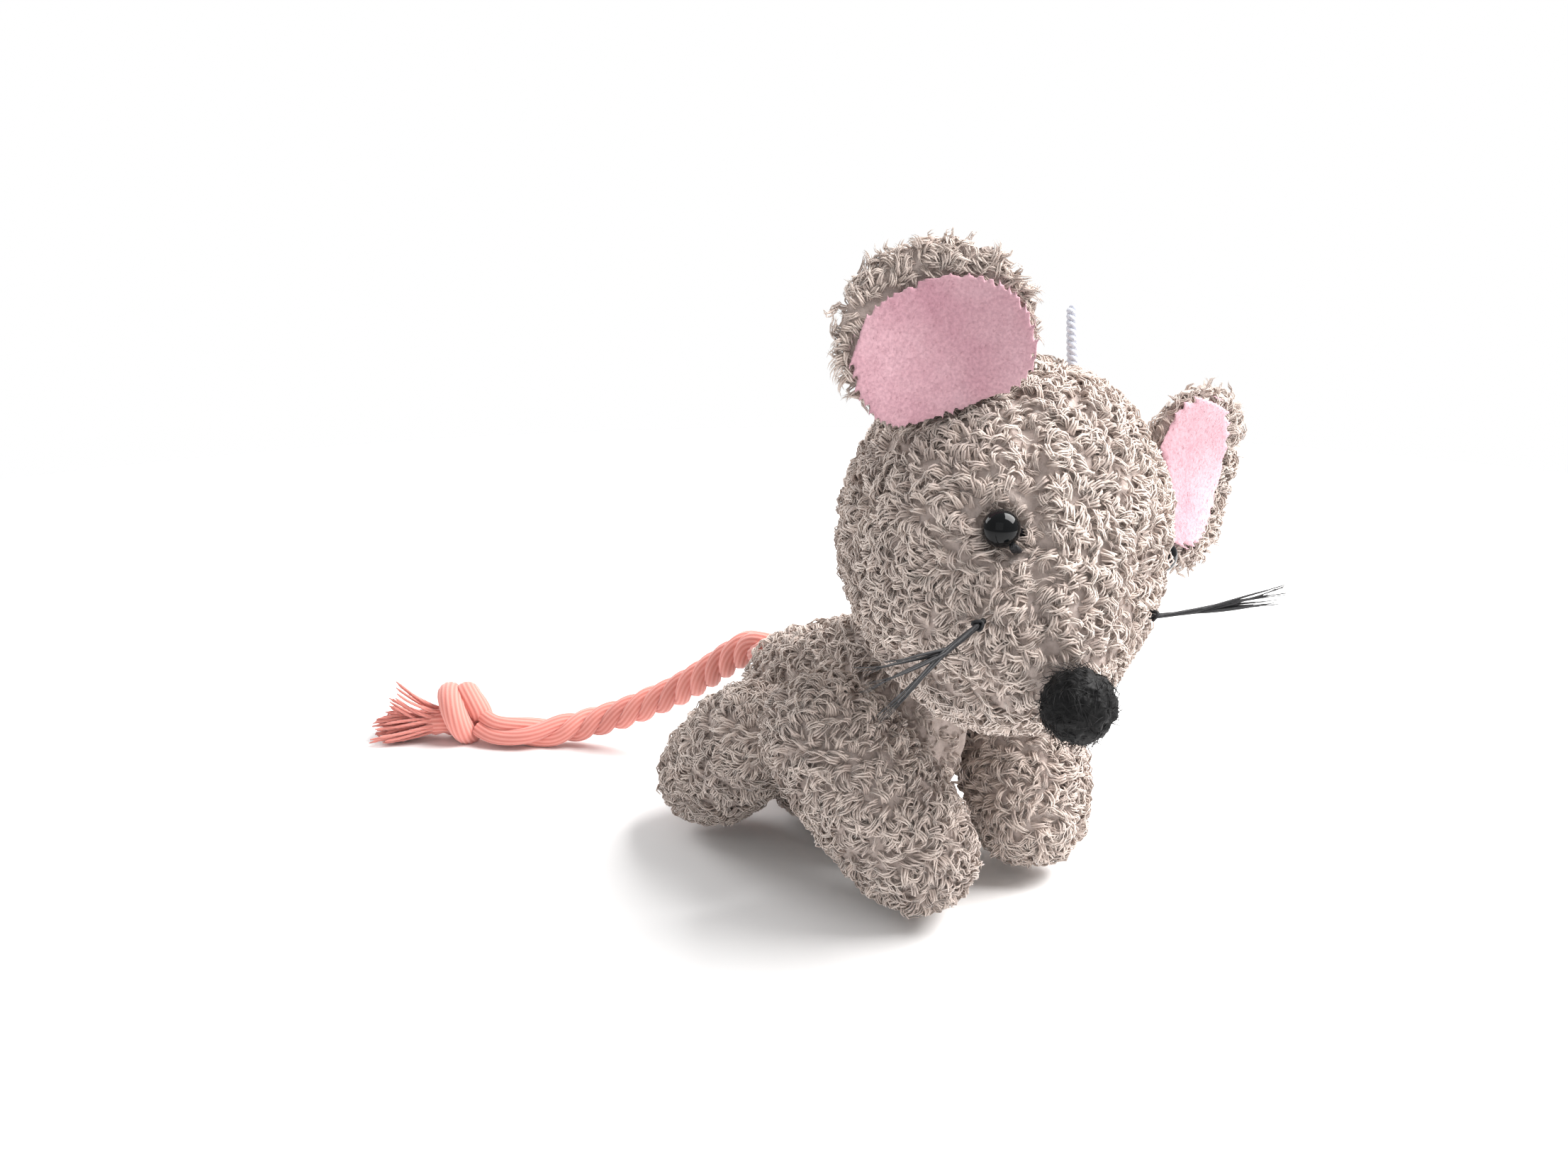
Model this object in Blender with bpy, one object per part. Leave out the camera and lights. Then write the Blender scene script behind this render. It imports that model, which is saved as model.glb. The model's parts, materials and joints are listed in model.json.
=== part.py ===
"""A small curly-plush mouse with a felt-ball nose, bead eyes, thread-jointed limbs and a cotton-rope tail.

Frame: +Z is up, the mouse faces -Y, its right side is -X, and the origin is where the belly rests.
"""

from math import cos, pi, radians, sin, sqrt

import bmesh
import bpy
from mathutils import Matrix, Vector

# ---------------------------------------------------------------- driving dimensions, in millimetres
MM = 0.001
FABRIC = 1.3            # curly plush: woven backing with its pile pressed down
GAP = 0.35              # clearance between pieces that touch on the real toy
FILL_ROOM = 0.9         # room between a skin's inner face and its filling
SEAM = 1.3              # width of the line between two panels sewn edge to edge

NECK_RISE = 40.4        # the neck's axis above the horizon, leaning forward, in degrees
HEAD_TURN = -29.0       # how far the head is swivelled to its right at rest, in degrees
SNOUT_DROP = 19.4       # how far the snout dips when the head looks straight on, in degrees
HEAD_CENTRE = Vector((0.0, -31.5, 53.5))

NOSE_RADIUS = 4.8
NOSE_AT = Vector((0.0, -34.4, -5.2))      # in the head's own frame
EYE_RADIUS = 2.4
WHISKER_RADIUS = 0.22
THREAD_RADIUS = 0.6
NECK_THREAD_RADIUS = 0.84
KNOT_RADIUS = 1.7
KNOT_DEPTH = 1.5        # how far inside a limb's centre its thread's knot lies

FORELEG_RADIUS = 10.1
HINDLEG_RADIUS = 9.2
SHOULDER = Vector((19.0, -18.0, 25.5))    # left side; the right side mirrors it
FOREPAW = Vector((12.0, -29.0, 10.1))
HIP = Vector((17.0, 1.0, 19.5))
HINDFOOT = Vector((15.5, 13.0, 9.2))
LIMB_SQUARENESS = 2.7   # 2 would be an ellipse, and more than that is fuller at the ends
LIMB_END = 0.94         # how far a limb runs on past its two centres, in radii
FORELEG_SWING = (0, 6, 12)                 # angles whose room is hollowed out of the torso, in degrees
HINDLEG_SWING = (-15, 0, 15)

ROPE_RADIUS = 2.7
TAIL_ROOT = Vector((0.4, 18.6, 25.0))
TAIL_KNOT = Vector((-26.2, 75.0, 4.8))
TAIL_KNOT_RADII = (4.6, 4.4, 5.1)
TAIL_KNOT_TURN = -30.0                     # about the vertical, in degrees
TASSEL_WAY = Vector((-0.86, 0.5, -0.06))
TASSEL_START = 4.9                         # from the knot's centre
TASSEL_DROP = 0.7                          # how far below the knot's centre the tassel starts
TASSEL_LENGTH = 12.0
TASSEL_RADII = (2.4, 2.9, 3.5, 3.8, 2.6)

LEFT, RIGHT = 1, -1
SIDE_NAMES = {LEFT: "left", RIGHT: "right"}
# The eyes in the head's own frame. They are sewn on by hand, and the left one sits further round.
EYE_AT = {LEFT: Vector((16.2, -11.4, 8.8)), RIGHT: Vector((-12.3, -19.6, 7.6))}


# ---------------------------------------------------------------- scene and material helpers
def clear_scene():
    for obj in list(bpy.data.objects):
        bpy.data.objects.remove(obj)


def make_material(name, colour, roughness):
    material = bpy.data.materials.new(name)
    material.use_nodes = True
    shader = material.node_tree.nodes["Principled BSDF"]
    shader.inputs["Base Color"].default_value = (*colour, 1.0)
    shader.inputs["Roughness"].default_value = roughness
    return material


def add_object(name, mesh, material, parent=None):
    obj = bpy.data.objects.new(name, mesh)
    bpy.context.scene.collection.objects.link(obj)
    if material:
        obj.data.materials.append(material)
    if parent:
        obj.parent = parent
    return obj


def add_pivot(name, matrix):
    pivot = bpy.data.objects.new(name, None)
    bpy.context.scene.collection.objects.link(pivot)
    pivot.matrix_world = matrix
    bpy.context.view_layer.update()
    return pivot


def mesh_from_bmesh(name, bm):
    """The bmesh as a mesh, in metres, with its faces turned outwards."""
    bmesh.ops.recalc_face_normals(bm, faces=bm.faces)
    bmesh.ops.scale(bm, vec=(MM, MM, MM), verts=bm.verts)
    mesh = bpy.data.meshes.new(name)
    bm.to_mesh(mesh)
    bm.free()
    mesh.shade_smooth()
    return mesh


def as_cutter(obj):
    obj.hide_render = True
    obj.display_type = "WIRE"
    return obj


def cut(target, cutter, name):
    modifier = target.modifiers.new(name, "BOOLEAN")
    modifier.operation = "DIFFERENCE"
    modifier.solver = "EXACT"
    modifier.object = cutter


def add_union(target, bm, name, parent=None):
    """Joins the bmesh's closed shape to the target, as one body."""
    modifier = target.modifiers.new(name, "BOOLEAN")
    modifier.operation = "UNION"
    modifier.solver = "EXACT"
    modifier.object = as_cutter(add_object(name, mesh_from_bmesh(name, bm), None, parent))


def thicken(obj, thickness):
    """Gives an outer surface its wall, inwards."""
    modifier = obj.modifiers.new("fabric", "SOLIDIFY")
    modifier.thickness = thickness * MM
    modifier.offset = -1.0


# ---------------------------------------------------------------- shape helpers
def smooth_step(points, t):
    """A Catmull-Rom curve through rows of numbers, read at t from 0 to len(points) - 1."""
    last = len(points) - 1
    i = min(int(t), last - 1)
    u = t - i
    p0, p1, p2, p3 = (points[max(0, min(last, k))] for k in (i - 1, i, i + 1, i + 2))
    return [
        0.5 * (2 * b + (c - a) * u + (2 * a - 5 * b + 4 * c - d) * u**2 + (3 * b - a - 3 * c + d) * u**3)
        for a, b, c, d in zip(p0, p1, p2, p3)
    ]


class Loft:
    """A closed skin along the frame's y: each station is (y, half width, top z, bottom z)."""

    def __init__(self, stations):
        self.stations = stations

    def point(self, t, angle):
        """The skin at station t, at an angle from the top towards +X, in degrees."""
        y, half_width, top, bottom = smooth_step(self.stations, t)
        x = half_width * sin(radians(angle))
        z = (top + bottom) / 2 + (top - bottom) / 2 * cos(radians(angle))
        return Vector((x, y, z))

    def girth(self, t):
        _, half_width, top, bottom = smooth_step(self.stations, t)
        return max(1.0, (half_width + (top - bottom) / 2) / 2)

    def rings(self, count):
        last = len(self.stations) - 1
        return [last * i / (count - 1) for i in range(count)]


def panel_mesh(name, loft, rings, columns, low, high, floor=None):
    """The part of a loft's skin between two seam lines, low(t) and high(t), in degrees."""
    bm = bmesh.new()
    grid = []
    ts = loft.rings(rings)
    for t in ts:
        half_seam = SEAM / 2 / loft.girth(t) * 180 / pi
        a, b = low(t) + half_seam, high(t) - half_seam
        row = []
        for i in range(columns + 1):
            p = loft.point(t, a + (b - a) * i / columns)
            if floor is not None:
                p.z = max(p.z, floor)
            row.append(bm.verts.new(p))
        grid.append(row)
    for r in range(rings - 1):
        for c in range(columns):
            bm.faces.new((grid[r][c], grid[r][c + 1], grid[r + 1][c + 1], grid[r + 1][c]))
    bm.normal_update()
    middle = grid[rings // 2][columns // 2]
    if middle.normal.dot(middle.co - skin_centre(loft)) < 0:
        bmesh.ops.reverse_faces(bm, faces=bm.faces)
    bmesh.ops.scale(bm, vec=(MM, MM, MM), verts=bm.verts)
    mesh = bpy.data.meshes.new(name)
    bm.to_mesh(mesh)
    bm.free()
    mesh.shade_smooth()
    return mesh


def skin_centre(loft):
    rows = loft.stations
    return Vector((0, sum(r[0] for r in rows) / len(rows), sum(r[2] + r[3] for r in rows) / (2 * len(rows))))


def closed_loft_bmesh(loft, rings, columns, inset=0.0, floor=None):
    """The whole skin closed at both ends, moved inwards by inset."""
    bm = bmesh.new()
    rows = []
    for t in loft.rings(rings):
        row = [bm.verts.new(loft.point(t, 360 * i / columns)) for i in range(columns)]
        rows.append(row)
    if floor is not None:
        for v in bm.verts:
            v.co.z = max(v.co.z, floor)
    for a, b in zip(rows, rows[1:]):
        for i in range(columns):
            j = (i + 1) % columns
            bm.faces.new((a[i], a[j], b[j], b[i]))
    bm.faces.new(rows[0])
    bm.faces.new(rows[-1])
    bmesh.ops.recalc_face_normals(bm, faces=bm.faces)
    push_in(bm, inset)
    return bm


def push_in(bm, inset):
    bm.normal_update()
    moves = [(v, v.normal.copy()) for v in bm.verts]
    for v, normal in moves:
        v.co -= normal * inset


def ball_bmesh(radius, centre, columns=16, rings=10):
    bm = bmesh.new()
    bmesh.ops.create_uvsphere(bm, u_segments=columns, v_segments=rings, radius=radius)
    bmesh.ops.translate(bm, vec=centre, verts=bm.verts)
    return bm


def rod_bmesh(radius, start, end, sides):
    """A straight round rod from start to end."""
    bm = bmesh.new()
    along = end - start
    turn = along.to_track_quat("Z", "Y").to_matrix().to_4x4()
    place = Matrix.Translation((start + end) / 2) @ turn
    bmesh.ops.create_cone(
        bm, cap_ends=True, segments=sides, radius1=radius, radius2=radius, depth=along.length, matrix=place
    )
    return bm


def mirrored(point, side):
    return Vector((point.x * side, point.y, point.z))


# ---------------------------------------------------------------- the head
# Stations from the back of the head to the end of the snout: y, half width, top z, bottom z.
HEAD = Loft(
    [
        (23.0, 3.4, 4.0, -2.8),
        (21.6, 8.0, 9.6, -7.8),
        (17.0, 15.0, 17.6, -15.2),
        (9.0, 20.6, 23.6, -20.6),
        (-1.5, 22.4, 25.4, -23.0),
        (-12.0, 20.0, 22.0, -22.4),
        (-19.5, 15.0, 14.6, -19.6),
        (-25.0, 10.4, 6.6, -15.6),
        (-28.4, 6.6, 1.2, -11.8),
        (-29.6, 3.8, -1.6, -8.8),
    ]
)
NECK_SEAT = 21.8        # from the head's centre to the flat where the neck meets it
NECK_CUT_RADIUS = 22.0  # the block that makes that flat is wider than the neck
NECK_CUT_DEPTH = 12.0
NECK_KNOT_IN_HEAD = 7.0
NECK_KNOT_IN_TORSO = 6.0
NECK_HOLE_SPARE = 2.0   # how far the thread's hole runs on past each knot


def neck_axis():
    """The neck's axis in the toy's frame, pointing from the torso into the head."""
    return Vector((0, -cos(radians(NECK_RISE)), sin(radians(NECK_RISE))))


def head_matrix():
    """Places the head: dipped, then swivelled on the neck's axis through its centre."""
    turn = Matrix.Rotation(radians(HEAD_TURN), 4, neck_axis())
    dip = Matrix.Rotation(radians(SNOUT_DROP), 4, "X")
    return Matrix.Translation(HEAD_CENTRE * MM) @ turn @ dip


def gusset_edge(t):
    """Half the crown gusset's width in degrees: narrow at the nape, widest by the eyes."""
    return 24 + 24 * (t / 9) ** 1.5


def chin_edge(t):
    """Where the cheek panel ends and the chin panel starts, in degrees from the top."""
    return 142 - 14 * (t / 9) ** 2


def make_head(fur, parts):
    matrix = head_matrix()
    pivot = add_pivot("head_pivot", matrix)
    to_head = matrix.inverted()
    rings, made = 13, []
    shapes = {
        "head_crown_gusset": (8, lambda t: -gusset_edge(t), gusset_edge),
        "head_cheek_left": (8, gusset_edge, chin_edge),
        "head_cheek_right": (8, lambda t: -chin_edge(t), lambda t: -gusset_edge(t)),
        "head_chin_panel": (6, chin_edge, lambda t: 360 - chin_edge(t)),
    }
    for name, (columns, low, high) in shapes.items():
        obj = add_object(name, panel_mesh(name, HEAD, rings, columns, low, high), fur, pivot)
        thicken(obj, FABRIC)
        made.append(obj)
    bm = closed_loft_bmesh(HEAD, 11, 16, inset=FABRIC + FILL_ROOM)
    stuffing = add_object("head_stuffing", mesh_from_bmesh("head_stuffing", bm), parts["fibre"], pivot)
    made.append(stuffing)

    seat = neck_seat_cutter(pivot, to_head)
    eye_cutters = [make_eye(side, parts["bead"], pivot) for side in (LEFT, RIGHT)]
    thread_hole = make_eye_thread(parts["black_thread"], pivot)
    neck_hole = neck_thread_cutter(pivot, to_head)
    for obj in made:
        cut(obj, seat, "neck seat")
        cut(obj, neck_hole, "neck thread hole")
        cut(obj, thread_hole, "eye thread hole")
        for number, cutter in enumerate(eye_cutters):
            cut(obj, cutter, f"eye socket {number}")
    make_nose(parts["felt_ball"], pivot)
    for side in (LEFT, RIGHT):
        make_whiskers(side, parts["black_thread"], pivot)
    make_hang_loop(parts["white_cord"], pivot)


def neck_seat_cutter(pivot, to_head):
    """A block that flattens the head where it sits on the neck."""
    axis = (to_head.to_3x3() @ neck_axis()).normalized()
    start = -axis * (NECK_SEAT + NECK_CUT_DEPTH)
    bm = rod_bmesh(NECK_CUT_RADIUS, start, -axis * NECK_SEAT, sides=28)
    return as_cutter(add_object("neck_seat_cutter", mesh_from_bmesh("neck_seat_cutter", bm), None, pivot))


def neck_thread_cutter(pivot, to_head):
    axis = (to_head.to_3x3() @ neck_axis()).normalized()
    start = -axis * (NECK_SEAT + NECK_HOLE_SPARE)
    end = -axis * (NECK_SEAT - NECK_KNOT_IN_HEAD - NECK_HOLE_SPARE)
    bm = rod_bmesh(KNOT_RADIUS + GAP, start, end, sides=12)
    return as_cutter(add_object("neck_thread_cutter", mesh_from_bmesh("neck_thread_cutter", bm), None, pivot))


def make_eye(side, material, pivot):
    """A black bead, half sunk in the pile. Returns the socket that it sits in."""
    centre = EYE_AT[side]
    name = f"eye_{SIDE_NAMES[side]}"
    add_object(name, mesh_from_bmesh(name, ball_bmesh(EYE_RADIUS, centre, 16, 10)), material, pivot)
    socket = ball_bmesh(EYE_RADIUS + GAP, centre, 16, 10)
    return as_cutter(add_object(name + "_socket", mesh_from_bmesh(name + "_socket", socket), None, pivot))


def make_eye_thread(material, pivot):
    """The thread that pulls both eyes in, straight through the stuffing. Returns its hole."""
    way = (EYE_AT[LEFT] - EYE_AT[RIGHT]).normalized()
    clear = way * (EYE_RADIUS + GAP)
    start, end = EYE_AT[RIGHT] + clear, EYE_AT[LEFT] - clear
    bm = rod_bmesh(THREAD_RADIUS, start, end, sides=10)
    add_object("eye_thread", mesh_from_bmesh("eye_thread", bm), material, pivot)
    past = way * GAP
    hole = rod_bmesh(THREAD_RADIUS + GAP, start - past, end + past, sides=10)
    return as_cutter(add_object("eye_thread_hole", mesh_from_bmesh("eye_thread_hole", hole), None, pivot))


def make_nose(material, pivot):
    bm = ball_bmesh(NOSE_RADIUS, NOSE_AT, 16, 10)
    add_object("nose_ball", mesh_from_bmesh("nose_ball", bm), material, pivot)


# Whisker bundles: where each leaves the snout and the way it points, in the head's own frame.
WHISKER_ROOT = {LEFT: Vector((14.2, -20.6, 3.4)), RIGHT: Vector((-12.2, -25.4, -3.0))}
WHISKER_WAY = {LEFT: Vector((0.90, 0.20, 0.39)), RIGHT: Vector((-0.68, -0.59, -0.42))}
WHISKER_LENGTH = {LEFT: 17.5, RIGHT: 20.5}
WHISKER_KNOT = 0.9      # radius of the stitch that gathers a bundle
WHISKER_ROOM = 3.2      # how far apart a bundle's threads start, as a share of how they fan out
WHISKER_FAN = [(-0.06, -0.03), (0.02, -0.07), (0.07, 0.03), (-0.01, 0.08)]


def whisker_points(side, fan, steps=4):
    """One thread of a bundle: it leaves with the others, then spreads and droops a little."""
    way = WHISKER_WAY[side].normalized()
    across = way.cross(Vector((0, 0, 1))).normalized()
    over = across.cross(way)
    root_spread = (across * fan[0] + over * fan[1]) * WHISKER_ROOM
    points = []
    for i in range(steps + 1):
        s = i / steps
        spread = (across * fan[0] + over * fan[1]) * WHISKER_LENGTH[side] * s**1.6
        points.append(WHISKER_ROOT[side] + root_spread + way * WHISKER_LENGTH[side] * s + spread)
    return points


def make_whiskers(side, material, pivot):
    """Four stiff threads that one stitch gathers where they leave the snout."""
    name = f"whiskers_{SIDE_NAMES[side]}"
    knot = ball_bmesh(WHISKER_KNOT, WHISKER_ROOT[side], 8, 6)
    bundle = add_object(name, mesh_from_bmesh(name, knot), material, pivot)
    for number, fan in enumerate(WHISKER_FAN):
        points = whisker_points(side, fan)
        radii = [WHISKER_RADIUS * (1 - 0.35 * i / len(points)) for i in range(len(points))]
        bm = bmesh.new()
        tube_into(bm, points, radii, 5)
        add_union(bundle, bm, f"{name}_thread_{number}", pivot)


def tube_into(bm, points, radii, sides):
    """Adds a tube with flat ends that follows points, one radius for each."""
    rings = []
    normal = None
    last = len(points) - 1
    for i, p in enumerate(points):
        along = (points[min(i + 1, last)] - points[max(i - 1, 0)]).normalized()
        if normal is None:
            normal = along.orthogonal().normalized()
        normal = (normal - along * normal.dot(along)).normalized()
        side_way = along.cross(normal)
        ring = []
        for k in range(sides):
            a = 2 * pi * k / sides
            ring.append(bm.verts.new(p + (normal * cos(a) + side_way * sin(a)) * radii[i]))
        rings.append(ring)
    for a, b in zip(rings, rings[1:]):
        for k in range(sides):
            m = (k + 1) % sides
            bm.faces.new((a[k], a[m], b[m], b[k]))
    bm.faces.new(list(reversed(rings[0])))
    bm.faces.new(rings[-1])


LOOP_AT = Vector((0.3, 6.6, 25.8))        # on the crown, in the head's own frame
LOOP_LEAN = Vector((-0.30, 0.46, 0.84))
LOOP_HEIGHT = 6.4
LOOP_ACROSS = Vector((-0.53, -0.85, 0))
LOOP_WIDTH = 2.6
CORD_RADIUS = 0.62


def make_hang_loop(material, pivot):
    """A narrow loop of white cord that stands on the crown, both of its ends sewn in."""
    up = LOOP_LEAN.normalized()
    across = LOOP_ACROSS.normalized()
    points = []
    steps = 12
    for i in range(steps + 1):
        a = pi * i / steps
        lift = LOOP_HEIGHT * sin(a) ** 0.7
        points.append(LOOP_AT + up * lift + across * (LOOP_WIDTH / 2) * cos(a) * (0.6 + 0.4 * sin(a)))
    bm = bmesh.new()
    tube_into(bm, points, [CORD_RADIUS] * len(points), 8)
    add_object("hang_loop", mesh_from_bmesh("hang_loop", bm), material, pivot)


# ---------------------------------------------------------------- the ears
# The middle of each ear's seam in the head's own frame, mirrored for the right ear.
EAR_AT = {LEFT: Vector((15.8, -1.0, 18.0)), RIGHT: Vector((18.0, -3.2, 17.2))}
# How each soft ear sits at rest, in degrees: tip out to its side, lined face outwards, tip back.
EAR_POSE = {LEFT: (88.0, -26.0, 20.0), RIGHT: (45.0, 8.0, 22.0)}
# Half width, half width at the seam, height and sag below the seam. The left felt is cut smaller.
EAR_SIZE = (13.1, 11.2, 19.6, 2.2)
LINING_SIZE = {LEFT: (11.0, 10.4, 13.4, 3.0), RIGHT: (12.3, 11.7, 14.8, 2.6)}
EAR_THICK = 3.4
EAR_SET_BACK = 0.9      # how far the furred pad's middle lies behind the seam
LINING_THICK = 1.1
EAR_BELT = 0.34         # where an ear is widest, as a share of its height
EAR_CUP = 26.0          # radius that the ear's sides curl forward on


def ear_matrix(side):
    """The ear's frame: x along its seam outwards, z to its tip, -y out of its lined face."""
    out, outwards, back = EAR_POSE[side]
    splay = Matrix.Rotation(radians(side * out), 4, "Y")
    turn = Matrix.Rotation(radians(side * outwards), 4, "Z")
    lean = Matrix.Rotation(radians(-back), 4, "X")
    return Matrix.Translation(mirrored(EAR_AT[side], side) * MM) @ splay @ turn @ lean


def ear_outline(half_width, base_half, height, sag, steps=28):
    """A rounded D: its seam edge sags a little below the seam's ends, with a full arch above."""
    points = []
    belt = height * EAR_BELT
    for i in range(steps):
        a = 2 * pi * i / steps
        s, c = sin(a), cos(a)
        way = 1 if c >= 0 else -1
        if s >= 0:
            points.append((half_width * abs(c) ** 0.9 * way, belt + (height - belt) * s**0.92))
        else:
            drop = abs(s) ** 0.8
            x = (half_width + (base_half - half_width) * drop) * abs(c) ** 0.45 * way
            points.append((x, belt - (belt + sag) * drop))
    return points


def pillow_bmesh(outline, thickness, face, rings=4):
    """A soft double-skinned pad over an outline, curled forward at its sides."""
    bm = bmesh.new()
    cx = sum(p[0] for p in outline) / len(outline)
    cz = sum(p[1] for p in outline) / len(outline)

    def place(x, z, sign, rho):
        curl = -x * x / (2 * EAR_CUP)
        bulge = sign * thickness / 2 * sqrt(max(0.0, 1 - rho**3))
        return Vector((x, face + curl + bulge, z))

    sides = {}
    for sign in (-1, 1):
        rows = []
        for r in range(1, rings):
            rho = r / rings
            rows.append([
                bm.verts.new(place(cx + (x - cx) * rho, cz + (z - cz) * rho, sign, rho)) for x, z in outline
            ])
        sides[sign] = (bm.verts.new(place(cx, cz, sign, 0)), rows)
    rim = [bm.verts.new(place(x, z, 0, 1)) for x, z in outline]
    count = len(outline)
    for sign, (middle, rows) in sides.items():
        rows = rows + [rim]
        for i in range(count):
            j = (i + 1) % count
            bm.faces.new((middle, rows[0][i], rows[0][j]))
            for a, b in zip(rows, rows[1:]):
                bm.faces.new((a[i], b[i], b[j], a[j]))
    return bm


def make_ear(side, fur, felt):
    name = SIDE_NAMES[side]
    pivot = add_pivot(f"ear_{name}_pivot", head_matrix() @ ear_matrix(side))
    back = pillow_bmesh(ear_outline(*EAR_SIZE), EAR_THICK, EAR_SET_BACK)
    front = EAR_SET_BACK - EAR_THICK / 2 - LINING_THICK / 2 - GAP
    lining = pillow_bmesh(ear_outline(*LINING_SIZE[side]), LINING_THICK, front)
    clear = closed_loft_bmesh(HEAD, 17, 24, inset=-GAP)
    bmesh.ops.transform(clear, matrix=mm_matrix(ear_matrix(side).inverted()), verts=clear.verts)
    clear_name = f"ear_{name}_clearance"
    cutter = as_cutter(add_object(clear_name, mesh_from_bmesh(clear_name, clear), None, pivot))
    for piece_name, bm, material in (("ear_back", back, fur), ("ear_lining", lining, felt)):
        full = f"{piece_name}_{name}"
        piece = add_object(full, mesh_from_bmesh(full, bm), material, pivot)
        cut(piece, cutter, "head clearance")


def mm_matrix(matrix):
    """A matrix in metres, turned into one for coordinates in millimetres."""
    result = matrix.copy()
    result.translation = matrix.translation / MM
    return result


# ---------------------------------------------------------------- the torso
# Stations from the rump to the chest: y, half width, top z, bottom z.
TORSO = Loft(
    [
        (20.2, 3.0, 22.5, 14.5),
        (19.2, 5.0, 26.6, 9.6),
        (15.5, 8.0, 29.8, 3.8),
        (9.0, 10.0, 32.4, -0.4),
        (0.0, 11.0, 35.6, -0.9),
        (-8.0, 10.6, 39.0, 0.4),
        (-14.5, 10.8, 39.6, 3.6),
        (-19.6, 10.2, 35.8, 8.2),
        (-23.4, 7.6, 31.0, 12.6),
        (-25.4, 3.8, 26.6, 17.4),
    ]
)
BELLY_EDGE = 128.0      # where the side panels end and the belly panel starts, in degrees from the top
TAIL_HOLE_IN = Vector((0, -9.0, -1.5))    # the two ends of the hole for the tail, from the tail's root
TAIL_HOLE_OUT = Vector((0, 6.0, 1.0))


def make_torso(fur, parts):
    rings, made = 12, []
    shapes = {
        "torso_side_left": (7, lambda t: 0.0, lambda t: BELLY_EDGE),
        "torso_side_right": (7, lambda t: -BELLY_EDGE, lambda t: 0.0),
        "torso_belly_panel": (6, lambda t: BELLY_EDGE, lambda t: 360 - BELLY_EDGE),
    }
    for name, (columns, low, high) in shapes.items():
        obj = add_object(name, panel_mesh(name, TORSO, rings, columns, low, high, floor=0.0), fur)
        thicken(obj, FABRIC)
        made.append(obj)
    bm = closed_loft_bmesh(TORSO, 9, 14, inset=FABRIC + FILL_ROOM, floor=0.0)
    stuffing = add_object("torso_stuffing", mesh_from_bmesh("torso_stuffing", bm), parts["fibre"])
    made.append(stuffing)
    cutters = torso_cutters()
    for obj in made:
        for number, cutter in enumerate(cutters):
            cut(obj, cutter, f"torso cut {number}")


def torso_cutters():
    """What shapes the torso to its neighbours: neck seat, limb hollows, thread holes and tail hole."""
    axis = neck_axis()
    seat_at = HEAD_CENTRE - axis * NECK_SEAT
    flat = seat_at - axis * GAP
    hole_end = seat_at - axis * (NECK_KNOT_IN_TORSO + NECK_HOLE_SPARE)
    shapes = {
        "torso_neck_seat": rod_bmesh(NECK_CUT_RADIUS, flat, flat + axis * NECK_CUT_DEPTH, sides=24),
        "torso_neck_hole": rod_bmesh(KNOT_RADIUS + GAP, seat_at + axis * NECK_HOLE_SPARE, hole_end, sides=12),
    }
    limbs = (
        ("fore", SHOULDER, FOREPAW, FORELEG_RADIUS, FORELEG_SWING),
        ("hind", HIP, HINDFOOT, HINDLEG_RADIUS, HINDLEG_SWING),
    )
    for limb, joint, foot, radius, swing in limbs:
        for side in (LEFT, RIGHT):
            start, end = mirrored(joint, side), mirrored(foot, side)
            for angle in swing:
                turn = Matrix.Rotation(radians(angle), 3, "X")
                turned_end = start + turn @ (end - start)
                key = f"hollow_{limb}_{SIDE_NAMES[side]}_{angle:+.0f}"
                shapes[key] = limb_bmesh(radius + GAP, start, turned_end, on_floor=False)
        start, end = mirrored(joint, RIGHT), mirrored(joint, LEFT)
        shapes[f"thread_hole_{limb}"] = rod_bmesh(THREAD_RADIUS + GAP, start, end, sides=10)
    tail_in, tail_out = TAIL_ROOT + TAIL_HOLE_IN, TAIL_ROOT + TAIL_HOLE_OUT
    shapes["tail_hole"] = rod_bmesh(ROPE_RADIUS + GAP, tail_in, tail_out, sides=14)
    return [
        as_cutter(add_object(name, mesh_from_bmesh(name, shape), None)) for name, shape in shapes.items()
    ]


# ---------------------------------------------------------------- the limbs
def limb_bmesh(radius, start, end, columns=16, rings=11, inset=0.0, on_floor=True):
    """A stuffed limb with full, slightly squared ends, from a ball round start to one round end."""
    bm = bmesh.new()
    along = end - start
    half = along.length / 2 + radius * LIMB_END
    turn = along.to_track_quat("Z", "Y").to_matrix()
    rows = []
    for i in range(rings + 1):
        a = pi * i / rings
        z = along.length / 2 - half * cos(a)
        r = radius * (1 - abs(cos(a)) ** LIMB_SQUARENESS) ** (1 / LIMB_SQUARENESS)
        if i in (0, rings):
            rows.append([bm.verts.new(start + turn @ Vector((0, 0, z)))])
            continue
        row = []
        for k in range(columns):
            b = 2 * pi * k / columns
            row.append(bm.verts.new(start + turn @ Vector((r * cos(b), r * sin(b), z))))
        rows.append(row)
    for a, b in zip(rows, rows[1:]):
        for k in range(columns):
            m = (k + 1) % columns
            if len(a) == 1:
                bm.faces.new((a[0], b[m], b[k]))
            elif len(b) == 1:
                bm.faces.new((a[k], a[m], b[0]))
            else:
                bm.faces.new((a[k], a[m], b[m], b[k]))
    bmesh.ops.recalc_face_normals(bm, faces=bm.faces)
    if on_floor:
        for v in bm.verts:
            v.co.z = max(v.co.z, 0.0)
    if inset:
        push_in(bm, inset)
    return bm


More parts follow.
